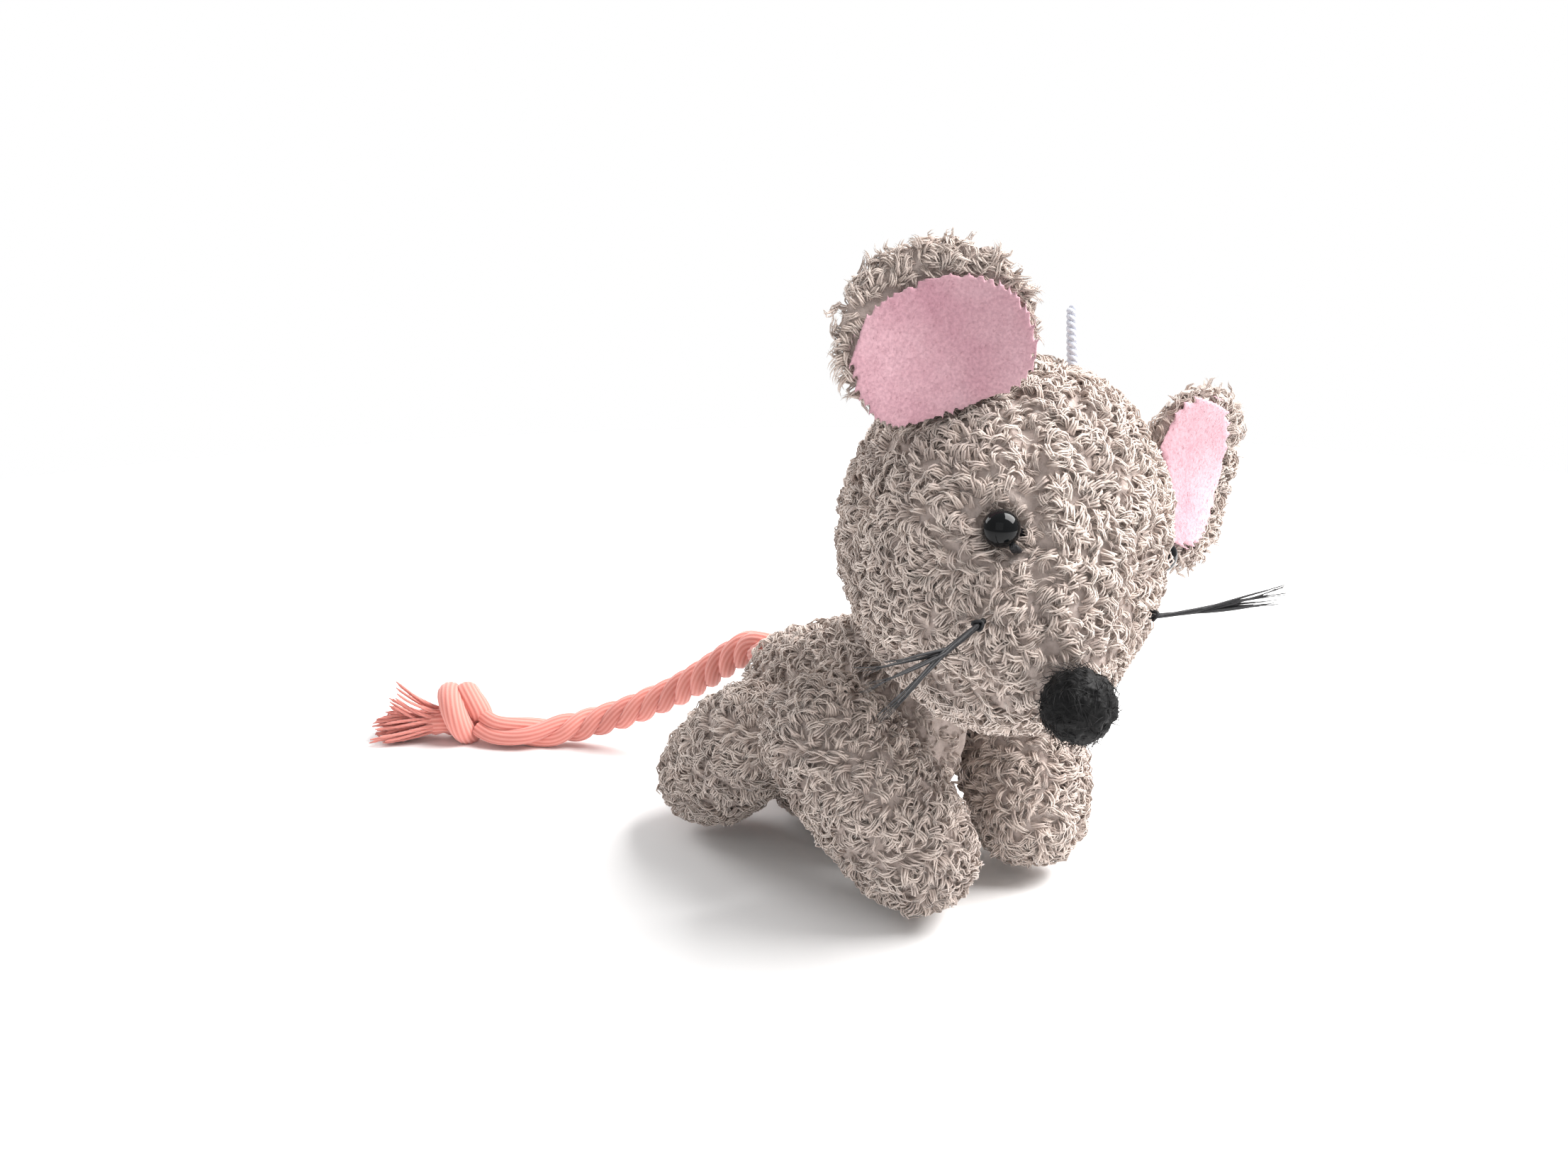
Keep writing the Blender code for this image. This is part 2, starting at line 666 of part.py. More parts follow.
def make_limb(kind, side, joint, foot, radius, fur, fibre):
    """A plush tube and its stuffing, hung on a thread along x through the joint."""
    start, end = mirrored(joint, side), mirrored(foot, side)
    name = f"{kind}_{SIDE_NAMES[side]}"
    pivot = add_pivot(f"{name}_pivot", Matrix.Translation(start * MM))
    to_pivot = Matrix.Translation(-start)
    skin_bm = limb_bmesh(radius, start, end)
    core_bm = limb_bmesh(radius, start, end, columns=12, rings=8, inset=FABRIC + FILL_ROOM)
    inner = Vector((start.x - side * (radius + 2), start.y, start.z))
    hole_bm = rod_bmesh(THREAD_RADIUS + GAP, inner, start, sides=10)
    knot_bm = ball_bmesh(KNOT_RADIUS + GAP, Vector((start.x - side * KNOT_DEPTH, start.y, start.z)), 12, 8)
    meshes = {}
    for key, bm in {"skin": skin_bm, "core": core_bm, "hole": hole_bm, "knot": knot_bm}.items():
        bmesh.ops.transform(bm, matrix=to_pivot, verts=bm.verts)
        meshes[key] = mesh_from_bmesh(f"{name}_{key}", bm)
    skin = add_object(f"{name}_skin", meshes["skin"], fur, pivot)
    thicken(skin, FABRIC)
    core = add_object(f"{name}_stuffing", meshes["core"], fibre, pivot)
    hole = as_cutter(add_object(f"{name}_thread_hole", meshes["hole"], None, pivot))
    knot_room = as_cutter(add_object(f"{name}_knot_room", meshes["knot"], None, pivot))
    cut(skin, hole, "thread hole")
    cut(core, hole, "thread hole")
    cut(core, knot_room, "knot room")


def make_joint_thread(name, joint, material):
    """A waxed thread across the torso, with a knot inside each limb."""
    reach = joint.x - KNOT_DEPTH
    start, end = Vector((-reach, joint.y, joint.z)), Vector((reach, joint.y, joint.z))
    bm = rod_bmesh(THREAD_RADIUS, start, end, sides=10)
    thread = add_object(name, mesh_from_bmesh(name, bm), material)
    for number, at in enumerate((start, end)):
        add_union(thread, ball_bmesh(KNOT_RADIUS, at, 8, 6), f"{name}_knot_{number}")


def make_neck_thread(material):
    axis = neck_axis()
    seat_at = HEAD_CENTRE - axis * NECK_SEAT
    start, end = seat_at - axis * NECK_KNOT_IN_TORSO, seat_at + axis * NECK_KNOT_IN_HEAD
    bm = rod_bmesh(NECK_THREAD_RADIUS, start, end, sides=12)
    thread = add_object("neck_thread", mesh_from_bmesh("neck_thread", bm), material)
    for number, at in enumerate((start, end)):
        add_union(thread, ball_bmesh(KNOT_RADIUS, at, 8, 6), f"neck_thread_knot_{number}")


# ---------------------------------------------------------------- the tail
ROPE_STEPS = 30         # straight lengths that the rope's tube is drawn with
# The rope's own line, from where it leaves the rump to the knot. It droops to the ground and lies there.
TAIL_ROUTE = [
    Vector(p)
    for p in (
        (0.4, 19.2, 25.4), (0.6, 22.2, 25.2), (0.3, 26.2, 23.0), (-0.2, 33.2, 18.2),
        (-1.3, 40.6, 13.2), (-3.3, 46.0, 10.0), (-5.8, 50.4, 7.4), (-8.2, 54.6, 5.4),
        (-11.2, 58.2, 3.8), (-15.1, 61.2, 2.9), (-19.4, 64.0, 2.75), (-22.6, 67.6, 2.9), (-23.9, 71.0, 3.6),
    )
]


def rope_curve(name, points, radius, material, parent):
    """A tube along a smooth line through points, as a curve with a round bevel."""
    last = len(points) - 1
    dense = [smooth_step(points, last * i / ROPE_STEPS) for i in range(ROPE_STEPS + 1)]
    curve = bpy.data.curves.new(name, "CURVE")
    curve.dimensions = "3D"
    curve.bevel_depth = radius * MM
    curve.bevel_resolution = 3
    curve.use_fill_caps = True
    spline = curve.splines.new("POLY")
    spline.points.add(len(dense) - 1)
    for point, (x, y, z) in zip(spline.points, dense):
        point.co = (x * MM, y * MM, z * MM, 1.0)
    obj = bpy.data.objects.new(name, curve)
    bpy.context.scene.collection.objects.link(obj)
    curve.materials.append(material)
    obj.parent = parent
    obj.matrix_parent_inverse = parent.matrix_world.inverted()
    return obj


def make_tail(rope):
    pivot = add_pivot("tail_pivot", Matrix.Translation(TAIL_ROOT * MM))
    rope_curve("tail_rope", TAIL_ROUTE, ROPE_RADIUS, rope, pivot)
    inverse = pivot.matrix_world.inverted()
    knot = ball_bmesh(1.0, Vector((0, 0, 0)))
    turn = Matrix.Rotation(radians(TAIL_KNOT_TURN), 4, "Z")
    place = Matrix.Translation(TAIL_KNOT) @ turn @ Matrix.Diagonal((*TAIL_KNOT_RADII, 1))
    bmesh.ops.transform(knot, matrix=place, verts=knot.verts)
    obj = add_object("tail_knot", mesh_from_bmesh("tail_knot", knot), rope, pivot)
    obj.matrix_parent_inverse = inverse
    way = TASSEL_WAY.normalized()
    bm = bmesh.new()
    start = TAIL_KNOT + way * TASSEL_START - Vector((0, 0, TASSEL_DROP))
    last = len(TASSEL_RADII) - 1
    points = [start + way * (TASSEL_LENGTH * i / last) for i in range(last + 1)]
    tube_into(bm, points, list(TASSEL_RADII), 12)
    for v in bm.verts:
        v.co.z = max(v.co.z, 0.0)
    obj = add_object("tail_tassel", mesh_from_bmesh("tail_tassel", bm), rope, pivot)
    obj.matrix_parent_inverse = inverse


TAIL_ANCHOR_IN = Vector((0, -7.0, -1.2))   # the two ends of the sewn-in piece, from the tail's root
TAIL_ANCHOR_OUT = Vector((0, -0.4, 0.0))


def make_tail_anchor(rope):
    """The rope's sewn-in end inside the rump."""
    inside, outside = TAIL_ROOT + TAIL_ANCHOR_IN, TAIL_ROOT + TAIL_ANCHOR_OUT
    bm = rod_bmesh(ROPE_RADIUS, inside, outside, sides=12)
    add_object("tail_anchor", mesh_from_bmesh("tail_anchor", bm), rope)


# ---------------------------------------------------------------- the whole mouse
def main():
    clear_scene()
    fur = make_material("curly_plush", (0.50, 0.42, 0.38), 0.95)
    felt = make_material("pink_felt", (0.85, 0.50, 0.56), 0.9)
    rope = make_material("pink_cotton_rope", (0.80, 0.36, 0.31), 0.85)
    parts = {
        "fibre": make_material("fibre_filling", (0.9, 0.9, 0.88), 0.95),
        "bead": make_material("black_bead", (0.01, 0.01, 0.012), 0.12),
        "felt_ball": make_material("black_felt", (0.015, 0.015, 0.017), 0.75),
        "black_thread": make_material("black_thread", (0.03, 0.03, 0.035), 0.5),
        "white_cord": make_material("white_cord", (0.85, 0.86, 0.88), 0.6),
    }
    make_head(fur, parts)
    for side in (LEFT, RIGHT):
        make_ear(side, fur, felt)
        make_limb("foreleg", side, SHOULDER, FOREPAW, FORELEG_RADIUS, fur, parts["fibre"])
        make_limb("hindleg", side, HIP, HINDFOOT, HINDLEG_RADIUS, fur, parts["fibre"])
    make_torso(fur, parts)
    make_joint_thread("foreleg_thread", SHOULDER, parts["black_thread"])
    make_joint_thread("hindleg_thread", HIP, parts["black_thread"])
    make_neck_thread(parts["black_thread"])
    make_tail_anchor(rope)
    make_tail(rope)


main()
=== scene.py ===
# %% [markdown]
# # A curly-plush mouse
# The frame of this toy is already made: solid panels, fillings, threads and joints, all in metres.
# This script gives it its looks. The stuffed parts get a soft skin and thousands of small curled locks,
# the tail becomes a real three-strand rope, and felt, bead, ball and thread get finishes of their own.

# %% Load the frame
import json
from math import cos, pi, radians, sin

import bmesh
import bpy
import numpy as np
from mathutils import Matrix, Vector, noise
from mathutils.bvhtree import BVHTree

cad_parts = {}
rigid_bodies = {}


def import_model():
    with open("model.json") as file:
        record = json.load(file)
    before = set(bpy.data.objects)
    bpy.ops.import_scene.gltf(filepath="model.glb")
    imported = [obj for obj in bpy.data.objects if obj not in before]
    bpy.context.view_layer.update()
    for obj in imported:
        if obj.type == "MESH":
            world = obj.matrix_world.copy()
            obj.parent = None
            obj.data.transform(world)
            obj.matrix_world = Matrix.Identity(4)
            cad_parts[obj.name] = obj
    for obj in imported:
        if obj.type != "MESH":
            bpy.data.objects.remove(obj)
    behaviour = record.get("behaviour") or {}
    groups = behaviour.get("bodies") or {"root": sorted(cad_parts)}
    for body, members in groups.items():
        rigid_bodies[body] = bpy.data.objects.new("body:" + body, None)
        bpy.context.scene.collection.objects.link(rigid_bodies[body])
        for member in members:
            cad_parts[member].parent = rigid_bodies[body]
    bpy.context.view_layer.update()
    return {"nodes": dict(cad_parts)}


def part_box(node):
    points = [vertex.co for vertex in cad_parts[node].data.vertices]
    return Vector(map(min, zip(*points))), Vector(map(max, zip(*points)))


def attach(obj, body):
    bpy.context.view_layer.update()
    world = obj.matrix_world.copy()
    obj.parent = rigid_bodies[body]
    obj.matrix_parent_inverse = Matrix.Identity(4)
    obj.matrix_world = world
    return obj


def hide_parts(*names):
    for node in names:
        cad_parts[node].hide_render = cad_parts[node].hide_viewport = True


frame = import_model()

MM = 0.001
nodes = frame["nodes"]

# %% [markdown]
# ## Camera, light and floor
# The camera stands low in front of the mouse's right shoulder, about three hand widths away, with a
# medium lens. A lens this close makes the head look big, so its distance matters as much as its angle.

# %% The camera
CAMERA_AT = Vector((-155.1, -171.3, 101.7)) * MM
CAMERA_TURN, CAMERA_DIP = radians(-40.0), radians(15.0)

camera_data = bpy.data.cameras.new("camera")
camera_data.sensor_width = 36.0
camera_data.lens = 35.8
camera_data.clip_start = 0.01
camera = bpy.data.objects.new("camera", camera_data)
bpy.context.scene.collection.objects.link(camera)
camera_back = Vector((
    sin(CAMERA_TURN) * cos(CAMERA_DIP), -cos(CAMERA_TURN) * cos(CAMERA_DIP), sin(CAMERA_DIP)))
camera.rotation_mode = "QUATERNION"
camera.rotation_quaternion = (-camera_back).to_track_quat("-Z", "Y")
camera.location = CAMERA_AT
bpy.context.scene.camera = camera
bpy.context.scene.view_settings.view_transform = "Standard"

# %% [markdown]
# A big soft lamp high on the mouse's left makes the pile there pale and leaves the near flank darker.
# A weak one from the other side opens the shadows, and a pale world does the rest. The camera sees that
# world as plain white, like the paper under the mouse.

# %% Lamps and world


def add_lamp(name, place, aim, size, watts, colour):
    lamp = bpy.data.lights.new(name, "AREA")
    lamp.size, lamp.energy, lamp.color = size, watts, colour
    holder = bpy.data.objects.new(name, lamp)
    holder.location = Vector(place)
    holder.rotation_mode = "QUATERNION"
    holder.rotation_quaternion = (Vector(aim) - Vector(place)).to_track_quat("-Z", "Y")
    bpy.context.scene.collection.objects.link(holder)


MIDDLE = (0.0, -0.01, 0.04)
add_lamp("window", (0.26, -0.20, 0.44), MIDDLE, 0.42, 7.6, (1.0, 0.985, 0.975))
add_lamp("room", (-0.45, -0.30, 0.30), MIDDLE, 0.45, 0.3, (0.97, 0.98, 1.0))
add_lamp("behind", (-0.15, 0.50, 0.35), MIDDLE, 0.30, 1.4, (1.0, 1.0, 1.0))

ROOM_LIGHT = 0.45

world = bpy.data.worlds.new("pale_room")
world.use_nodes = True
wiring = world.node_tree
room = wiring.nodes["Background"]
seen = wiring.nodes.new("ShaderNodeBackground")
for node, strength in ((room, ROOM_LIGHT), (seen, 1.0)):
    node.inputs["Color"].default_value = (1.0, 1.0, 1.0, 1.0)
    node.inputs["Strength"].default_value = strength
either = wiring.nodes.new("ShaderNodeMixShader")
wiring.links.new(wiring.nodes.new("ShaderNodeLightPath").outputs["Is Camera Ray"], either.inputs[0])
wiring.links.new(room.outputs[0], either.inputs[1])
wiring.links.new(seen.outputs[0], either.inputs[2])
wiring.links.new(either.outputs[0], wiring.nodes["World Output"].inputs["Surface"])
bpy.context.scene.world = world

# %% [markdown]
# ## Finishes
# Each finish is one Principled shader. A few helpers keep the node wiring short: one adds a node and
# fills its sockets, one mixes two colours by a factor, and one reads an attribute of the mesh.

# %% Helpers for node trees


class Finish:
    """A material under construction: its tree, its shader and short ways to add nodes."""

    def __init__(self, name, **sockets):
        self.material = bpy.data.materials.new(name)
        self.material.use_nodes = True
        self.tree = self.material.node_tree
        self.shader = self.tree.nodes["Principled BSDF"]
        for socket, value in sockets.items():
            self.shader.inputs[socket.replace("_", " ")].default_value = value

    def add(self, kind, links=(), **settings):
        node = self.tree.nodes.new(kind)
        for key, value in settings.items():
            if key.startswith("in_"):
                slot = key[3:]
                slot = int(slot) if slot.isdigit() else slot.replace("_", " ")
                node.inputs[slot].default_value = value
            else:
                setattr(node, key, value)
        for socket, source in dict(links).items():
            self.tree.links.new(source, node.inputs[socket])
        return node

    def attribute(self, name):
        return self.add("ShaderNodeAttribute", attribute_name=name).outputs["Fac"]

    def noise(self, scale, detail):
        place = self.add("ShaderNodeTexCoord").outputs["Object"]
        made = self.add("ShaderNodeTexNoise", {"Vector": place}, in_Scale=scale, in_Detail=detail)
        return made.outputs["Fac"]

    def math(self, operation, a, b):
        node = self.add("ShaderNodeMath", operation=operation)
        for slot, value in enumerate((a, b)):
            if isinstance(value, (int, float)):
                node.inputs[slot].default_value = value
            else:
                self.tree.links.new(value, node.inputs[slot])
        return node.outputs[0]

    def ramp(self, factor, stops):
        node = self.add("ShaderNodeValToRGB", {"Fac": factor})
        elements = node.color_ramp.elements
        while len(elements) < len(stops):
            elements.new(0.5)
        for element, (position, colour) in zip(elements, stops):
            element.position = position
            element.color = (*colour, 1.0)
        return node.outputs["Color"]

    def mix(self, factor, a, b, blend="MIX"):
        node = self.add("ShaderNodeMix", data_type="RGBA", blend_type=blend)
        for slot, value in (("Factor_Float", factor), ("A_Color", a), ("B_Color", b)):
            socket = next(s for s in node.inputs if s.identifier == slot)
            if isinstance(value, (int, float)):
                socket.default_value = value
            elif isinstance(value, tuple):
                socket.default_value = (*value, 1.0)
            else:
                self.tree.links.new(value, socket)
        return next(s for s in node.outputs if s.identifier == "Result_Color")

    def colour(self, output):
        self.tree.links.new(output, self.shader.inputs["Base Color"])

    def bump(self, height, strength, distance):
        node = self.add("ShaderNodeBump", {"Height": height}, in_Strength=strength, in_Distance=distance)
        self.tree.links.new(node.outputs["Normal"], self.shader.inputs["Normal"])


# %% [markdown]
# Plush is dark between its locks and pale at their tips, since little light gets down to the backing.
# Every lock carries two numbers for this: `along`, from its root to its tip, and `tone`, its own shade.

# %% Plush finishes
PLUSH_DARK, PLUSH_MID, PLUSH_PALE = (0.58, 0.49, 0.45), (0.65, 0.565, 0.525), (0.74, 0.67, 0.63)


def plush_finish():
    finish = Finish("curly_plush", Roughness=0.92, Sheen_Weight=0.35, Sheen_Roughness=0.45)
    along = finish.ramp(
        finish.attribute("along"), [(0.0, PLUSH_DARK), (0.32, PLUSH_MID), (1.0, PLUSH_PALE)])
    shade = finish.ramp(finish.attribute("tone"), [(0.0, (0.80, 0.77, 0.75)), (1.0, (1.12, 1.11, 1.08))])
    toned = finish.mix(1.0, along, shade, "MULTIPLY")
    patches = finish.ramp(finish.noise(95.0, 2.0), [(0.35, (0.90, 0.88, 0.87)), (0.65, (1.06, 1.05, 1.04))])
    finish.colour(finish.mix(1.0, toned, patches, "MULTIPLY"))
    finish.bump(finish.noise(5200.0, 2.0), 0.5, 0.00012)
    return finish.material


def backing_finish():
    finish = Finish("plush_backing", Roughness=1.0)
    shade = finish.ramp(finish.noise(900.0, 3.0), [(0.3, (0.44, 0.36, 0.325)), (0.7, (0.60, 0.51, 0.47))])
    finish.colour(shade)
    finish.bump(finish.noise(1600.0, 3.0), 0.8, 0.0003)
    return finish.material


plush, backing = plush_finish(), backing_finish()
print("plush finishes:", plush.name, backing.name)

# %% [markdown]
# ## Soft skins
# The frame's panels are plain shells with a gap where they are sewn together. The soft skin is one
# closed surface round them. It could be remeshed from them in voxels, but that keeps their facets. It
# is wrapped instead: a fine ball is laid over the part from its middle outwards, one ray a vertex.
# Where a ray slips out through a seam the vertex is marked, and ends up in a shallow crease.

# %% Wrapping a ball over the frame's panels
WALLS = 8               # a ray goes through at most this many faces
STEP_ON = 0.00002       # and starts again this far past each
FILL_ROUNDS = 12
SMOOTHING = 3


def panel_tree(names):
    """A search tree over the faces of some of the frame's nodes."""
    points, faces = [], []
    for name in names:
        mesh = nodes[name].data
        first = len(points)
        points += [v.co.copy() for v in mesh.vertices]
        faces += [[first + i for i in p.vertices] for p in mesh.polygons]
    return BVHTree.FromPolygons(points, faces)


def outermost(tree, middle, way):
    """The last place where a ray from the middle leaves the part, or None."""
    start, found = middle.copy(), None
    for _ in range(WALLS):
        hit = tree.ray_cast(start, way)[0]
        if hit is None:
            return found
        found = hit
        start = hit + way * STEP_ON
    return found


def ball(detail, middle):
    """A bmesh ball of radius 1 round a place."""
    bm = bmesh.new()
    bmesh.ops.create_icosphere(bm, subdivisions=detail, radius=1.0)
    for v in bm.verts:
        v.co += middle
    return bm


def wrap(names, middle, detail):
    """A closed skin over the panels. Returns the bmesh and the numbers of its seam vertices."""
    tree = panel_tree(names)
    bm = ball(detail, middle)
    bm.verts.ensure_lookup_table()
    lost = []
    for v in bm.verts:
        hit = outermost(tree, middle, (v.co - middle).normalized())
        if hit is None:
            lost.append(v)
        else:
            v.co = hit
    open_verts = set(lost)
    for _ in range(FILL_ROUNDS):
        done = []
        for v in open_verts:
            near = [e.other_vert(v) for e in v.link_edges if e.other_vert(v) not in open_verts]
            if near:
                v.co = sum((n.co for n in near), Vector()) / len(near)
                done.append(v)
        open_verts.difference_update(done)
        if not open_verts:
            break
    for _ in range(SMOOTHING):
        bmesh.ops.smooth_vert(
            bm, verts=bm.verts, factor=0.5, use_axis_x=True, use_axis_y=True, use_axis_z=True)
    bmesh.ops.recalc_face_normals(bm, faces=bm.faces)
    return bm, [v.index for v in lost]


def seam_depths(bm, marks, reach):
    """How near each vertex is to a marked one: 1 on the seam, 0 from `reach` away."""
    bm.verts.ensure_lookup_table()
    from_marks = [bm.verts[i].co.copy() for i in marks]
    near = np.zeros(len(bm.verts))
    if not from_marks:
        return near
    spots = np.array(from_marks)
    for v in bm.verts:
        gap = np.sqrt(((spots - np.array(v.co)) ** 2).sum(1)).min()
        near[v.index] = max(0.0, 1.0 - gap / reach)
    return near


# %% [markdown]
# ## Stuffing it
# Fibre filling pushes every panel outwards while the seams hold. That is a cloth simulation with
# pressure: the seam vertices are pinned, gravity is off, and a vertex may move only so far. The parts
# are a few centimetres across, and the solver likes larger ones, so each is simulated at ten times its
# size.

# %% The stuffing simulation
SIM_SCALE = 10.0
SIM_FRAMES = 16
STUFFING_PRESSURE = 1.1


def stuff(obj, hold, cap):
    """Inflates the object's mesh with its held vertices pinned, and keeps the result."""
    rest = np.empty(len(obj.data.vertices) * 3)
    obj.data.vertices.foreach_get("co", rest)
    rest = rest.reshape(-1, 3)
    obj.data.vertices.foreach_set("co", (rest * SIM_SCALE).ravel())
    group = obj.vertex_groups.new(name="held")
    for index, weight in enumerate(hold):
        if weight > 0.02:
            group.add([index], float(min(1.0, weight)), "REPLACE")
    modifier = obj.modifiers.new("stuffing", "CLOTH")
    settings = modifier.settings
    settings.quality = 4
    settings.mass = 0.3
    settings.tension_stiffness = settings.compression_stiffness = 12.0
    settings.bending_stiffness = 2.0
    settings.use_pressure = True
    settings.uniform_pressure_force = STUFFING_PRESSURE
    settings.vertex_group_mass = group.name
    settings.effector_weights.gravity = 0.0
    modifier.point_cache.frame_start, modifier.point_cache.frame_end = 1, SIM_FRAMES
    for number in range(1, SIM_FRAMES + 1):
        bpy.context.scene.frame_set(number)
    evaluated = obj.evaluated_get(bpy.context.evaluated_depsgraph_get())
    puffed = np.empty(len(obj.data.vertices) * 3)
    evaluated.data.vertices.foreach_get("co", puffed)
    move = puffed.reshape(-1, 3) / SIM_SCALE - rest
    length = np.sqrt((move**2).sum(1))
    move *= np.minimum(1.0, cap / np.maximum(length, 1e-9))[:, None]
    obj.modifiers.remove(modifier)
    obj.vertex_groups.remove(group)
    bpy.context.scene.frame_set(1)
    obj.data.vertices.foreach_set("co", (rest + move).ravel())
    obj.data.update()
    return float(np.minimum(length, cap).max())


# %% [markdown]
# The pile isn't the same all over: it is left out under the eyes and the nose, it is trimmed short
# round them, and it parts along the seams. Each skin carries that as a number from 0 to 1, `pile`.

# %% One stuffed part from its panels
PILE_SINK = 0.0011      # how far the backing lies under the frame's surface, which is the combed pile's
SEAM_DIP = 0.0007       # how much deeper it lies along a seam
SEAM_REACH = 0.0022     # how far a seam's crease spreads
SEAM_THINNING = 0.45
SOLE = 0.0004           # the backing stays this far off the floor
FLATTENED = 0.45        # how much of the pile is left where the mouse rests on it
FLATTENED_FROM, FLATTENED_OVER = 0.0006, 0.004
# Next to a limb the pile thins out, so the darker backing shows as painted shade in the crease.
CREASE_SHADE_FROM, CREASE_SHADE_OVER = 0.0014, 0.0022


def set_pile(obj, values):
    attribute = obj.data.attributes.new("pile", "FLOAT", "POINT")
    attribute.data.foreach_set("value", np.asarray(values, np.float32))


def stuffed_part(name, panels, bare=(), swell=(), shade_beside=(), detail=5, puff=0.0008, foot=True):
    """The skin of one stuffed part. `bare` lists (place, inner, outer) to keep free of pile, `swell`
    lists (place, reach, rise) where the skin comes out to meet its neighbour, and `shade_beside` names the
    frame's nodes next to which the pile thins, so the darker backing shows as painted shade."""
    corners = np.array([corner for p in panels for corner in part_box(p)])
    middle = Vector((corners.min(0) + corners.max(0)) / 2)
    bm, marks = wrap(panels, middle, detail)
    seam = seam_depths(bm, marks, SEAM_REACH)
    for v in bm.verts:
        v.co -= v.normal * (PILE_SINK + SEAM_DIP * seam[v.index])
    for place, reach, rise in swell:
        for v in bm.verts:
            near = max(0.0, 1.0 - (v.co - place).length / reach)
            v.co += (place - v.co).normalized() * rise * near * near * (3 - 2 * near)
    mesh = bpy.data.meshes.new(name)
    bm.to_mesh(mesh)
    bm.free()
    obj = bpy.data.objects.new(name, mesh)
    bpy.context.scene.collection.objects.link(obj)
    moved = stuff(obj, seam, puff)
    points = np.empty(len(mesh.vertices) * 3)
    mesh.vertices.foreach_get("co", points)
    points = points.reshape(-1, 3)
    if foot:
        points[:, 2] = np.maximum(points[:, 2], SOLE)
        mesh.vertices.foreach_set("co", points.ravel())
    pile = 1.0 - SEAM_THINNING * seam
    for place, inner, outer in bare:
        away = np.sqrt(((points - np.array(place)) ** 2).sum(1))
        pile *= np.clip((away - inner) / (outer - inner), 0.0, 1.0)
    if foot:
        pile *= np.clip((points[:, 2] - FLATTENED_FROM) / FLATTENED_OVER, FLATTENED, 1.0)
    # Painted shade: next to the named nodes the pile thins, so the darker backing shows as a dark crease.
    if shade_beside:
        tree = panel_tree(shade_beside)
        away = np.array([tree.find_nearest(Vector(p))[3] for p in points])
        pile *= np.clip((away - CREASE_SHADE_FROM) / CREASE_SHADE_OVER, 0.0, 1.0)
    set_pile(obj, pile)
    mesh.shade_smooth()
    mesh.materials.append(backing)
    print(name, len(mesh.vertices), "points, seam points", len(marks), "stuffed by mm", round(moved / MM, 2))
    return obj


# %% [markdown]
# ## Locks of pile
# Curly plush is cut pile whose fibres clump into small curled locks. A hair system could grow them, but
# hair doesn't export as a mesh. So a lock is modelled once as four tapering fibres with a dozen faces
# each, in a few shapes, and Geometry Nodes sow the copies.

# %% The shapes of a lock
rng = np.random.default_rng(7)


def shape_mesh(name, strands):
    """A mesh from strands, each a list of (point, radius) in millimetres: three-sided and tapering."""
    points, faces, along = [], [], []
    for strand in strands:
        last, rings = len(strand) - 1, []
        for i, (centre, radius) in enumerate(strand):
            before, after = strand[max(0, i - 1)][0], strand[min(last, i + 1)][0]
            ahead = (after - before).normalized()
            across = ahead.cross(Vector((0, 0, 1))).normalized()
            over = across.cross(ahead)
            corners = 3 if i < last else 1
            rings.append(range(len(points), len(points) + corners))
            for k in range(corners):
                turn = 2 * pi * (k + 0.25) / 3
                rim = (across * cos(turn) + over * sin(turn)) * radius * (corners > 1)
                points.append((centre + rim) * MM)
                along.append(i / last)
        for a, b in zip(rings, rings[1:]):
            for k in range(3):
                m = (k + 1) % 3
                faces.append((a[k], a[m], b[m % len(b)], b[k]) if len(b) == 3 else (a[k], a[m], b[0]))
    mesh = bpy.data.meshes.new(name)
    mesh.from_pydata(points, [], faces)
    bm = bmesh.new()
    bm.from_mesh(mesh)
    bmesh.ops.recalc_face_normals(bm, faces=bm.faces)
    bm.to_mesh(mesh)
    bm.free()
    mesh.attributes.new("along", "FLOAT", "POINT").data.foreach_set("value", np.array(along, np.float32))
    mesh.shade_smooth()
    return mesh


def shelf(name, makers):
    """A collection of template shapes, which only the trees see."""
    found = bpy.data.collections.new(name)
    for number, strands in enumerate(makers):
        label = f"{name}_{number}"
        found.objects.link(bpy.data.objects.new(label, shape_mesh(label, strands)))
    return found


LOCK_REACH, LOCK_RISE, LOCK_GAUGE = 3.1, 1.15, 0.145      # in millimetres, as are the rest of these
LOCK_ROOT = -0.35           # a fibre starts this far under the backing
LOCK_STEPS = 4
LOCK_FIBRES = (-1.5, -0.5, 0.5, 1.5)
FIBRES_APART = 0.22


def lock():
    """Four fibres side by side that rise, lie over and curl the same way, in millimetres."""
    curl = rng.choice((-1.0, 1.0)) * rng.uniform(0.9, 2.3)
    strands = []
    for side in LOCK_FIBRES:
        centre = Vector((0.0, side * FIBRES_APART + rng.uniform(-0.08, 0.08), LOCK_ROOT))
        heading, reach = rng.uniform(-0.2, 0.2) - 0.08 * side, LOCK_REACH * rng.uniform(0.75, 1.15)
        top = LOCK_RISE * rng.uniform(0.75, 1.2)
        strand = []
        for i in range(LOCK_STEPS + 1):
            s = i / LOCK_STEPS
            centre = centre.copy()
            lift = sin(min(pi * 0.86, pi * (0.12 + 0.95 * s)))
            centre.z = LOCK_ROOT + (top - LOCK_ROOT) * lift
            strand.append((centre, LOCK_GAUGE * (1.05 - 0.8 * s * s)))
            heading += curl * (0.25 + 1.1 * s) / LOCK_STEPS
            centre = centre + Vector((cos(heading), sin(heading), 0.0)) * (reach / LOCK_STEPS)
        strands.append(strand)
    return strands


lock_shapes = shelf("lock", [lock() for _ in range(6)])
faces_each = [len(o.data.polygons) for o in lock_shapes.objects]
print("faces in each lock shape:", faces_each)

# %% [markdown]
# The tree sows points over the skin, denser where `pile` is high, stands a lock on each, and turns it.
# Neighbouring locks lean the same way, which gives the plush its swirls: the turn comes from a smooth
# noise over the place, with a little chance added.

# %% Helpers for Geometry Nodes trees


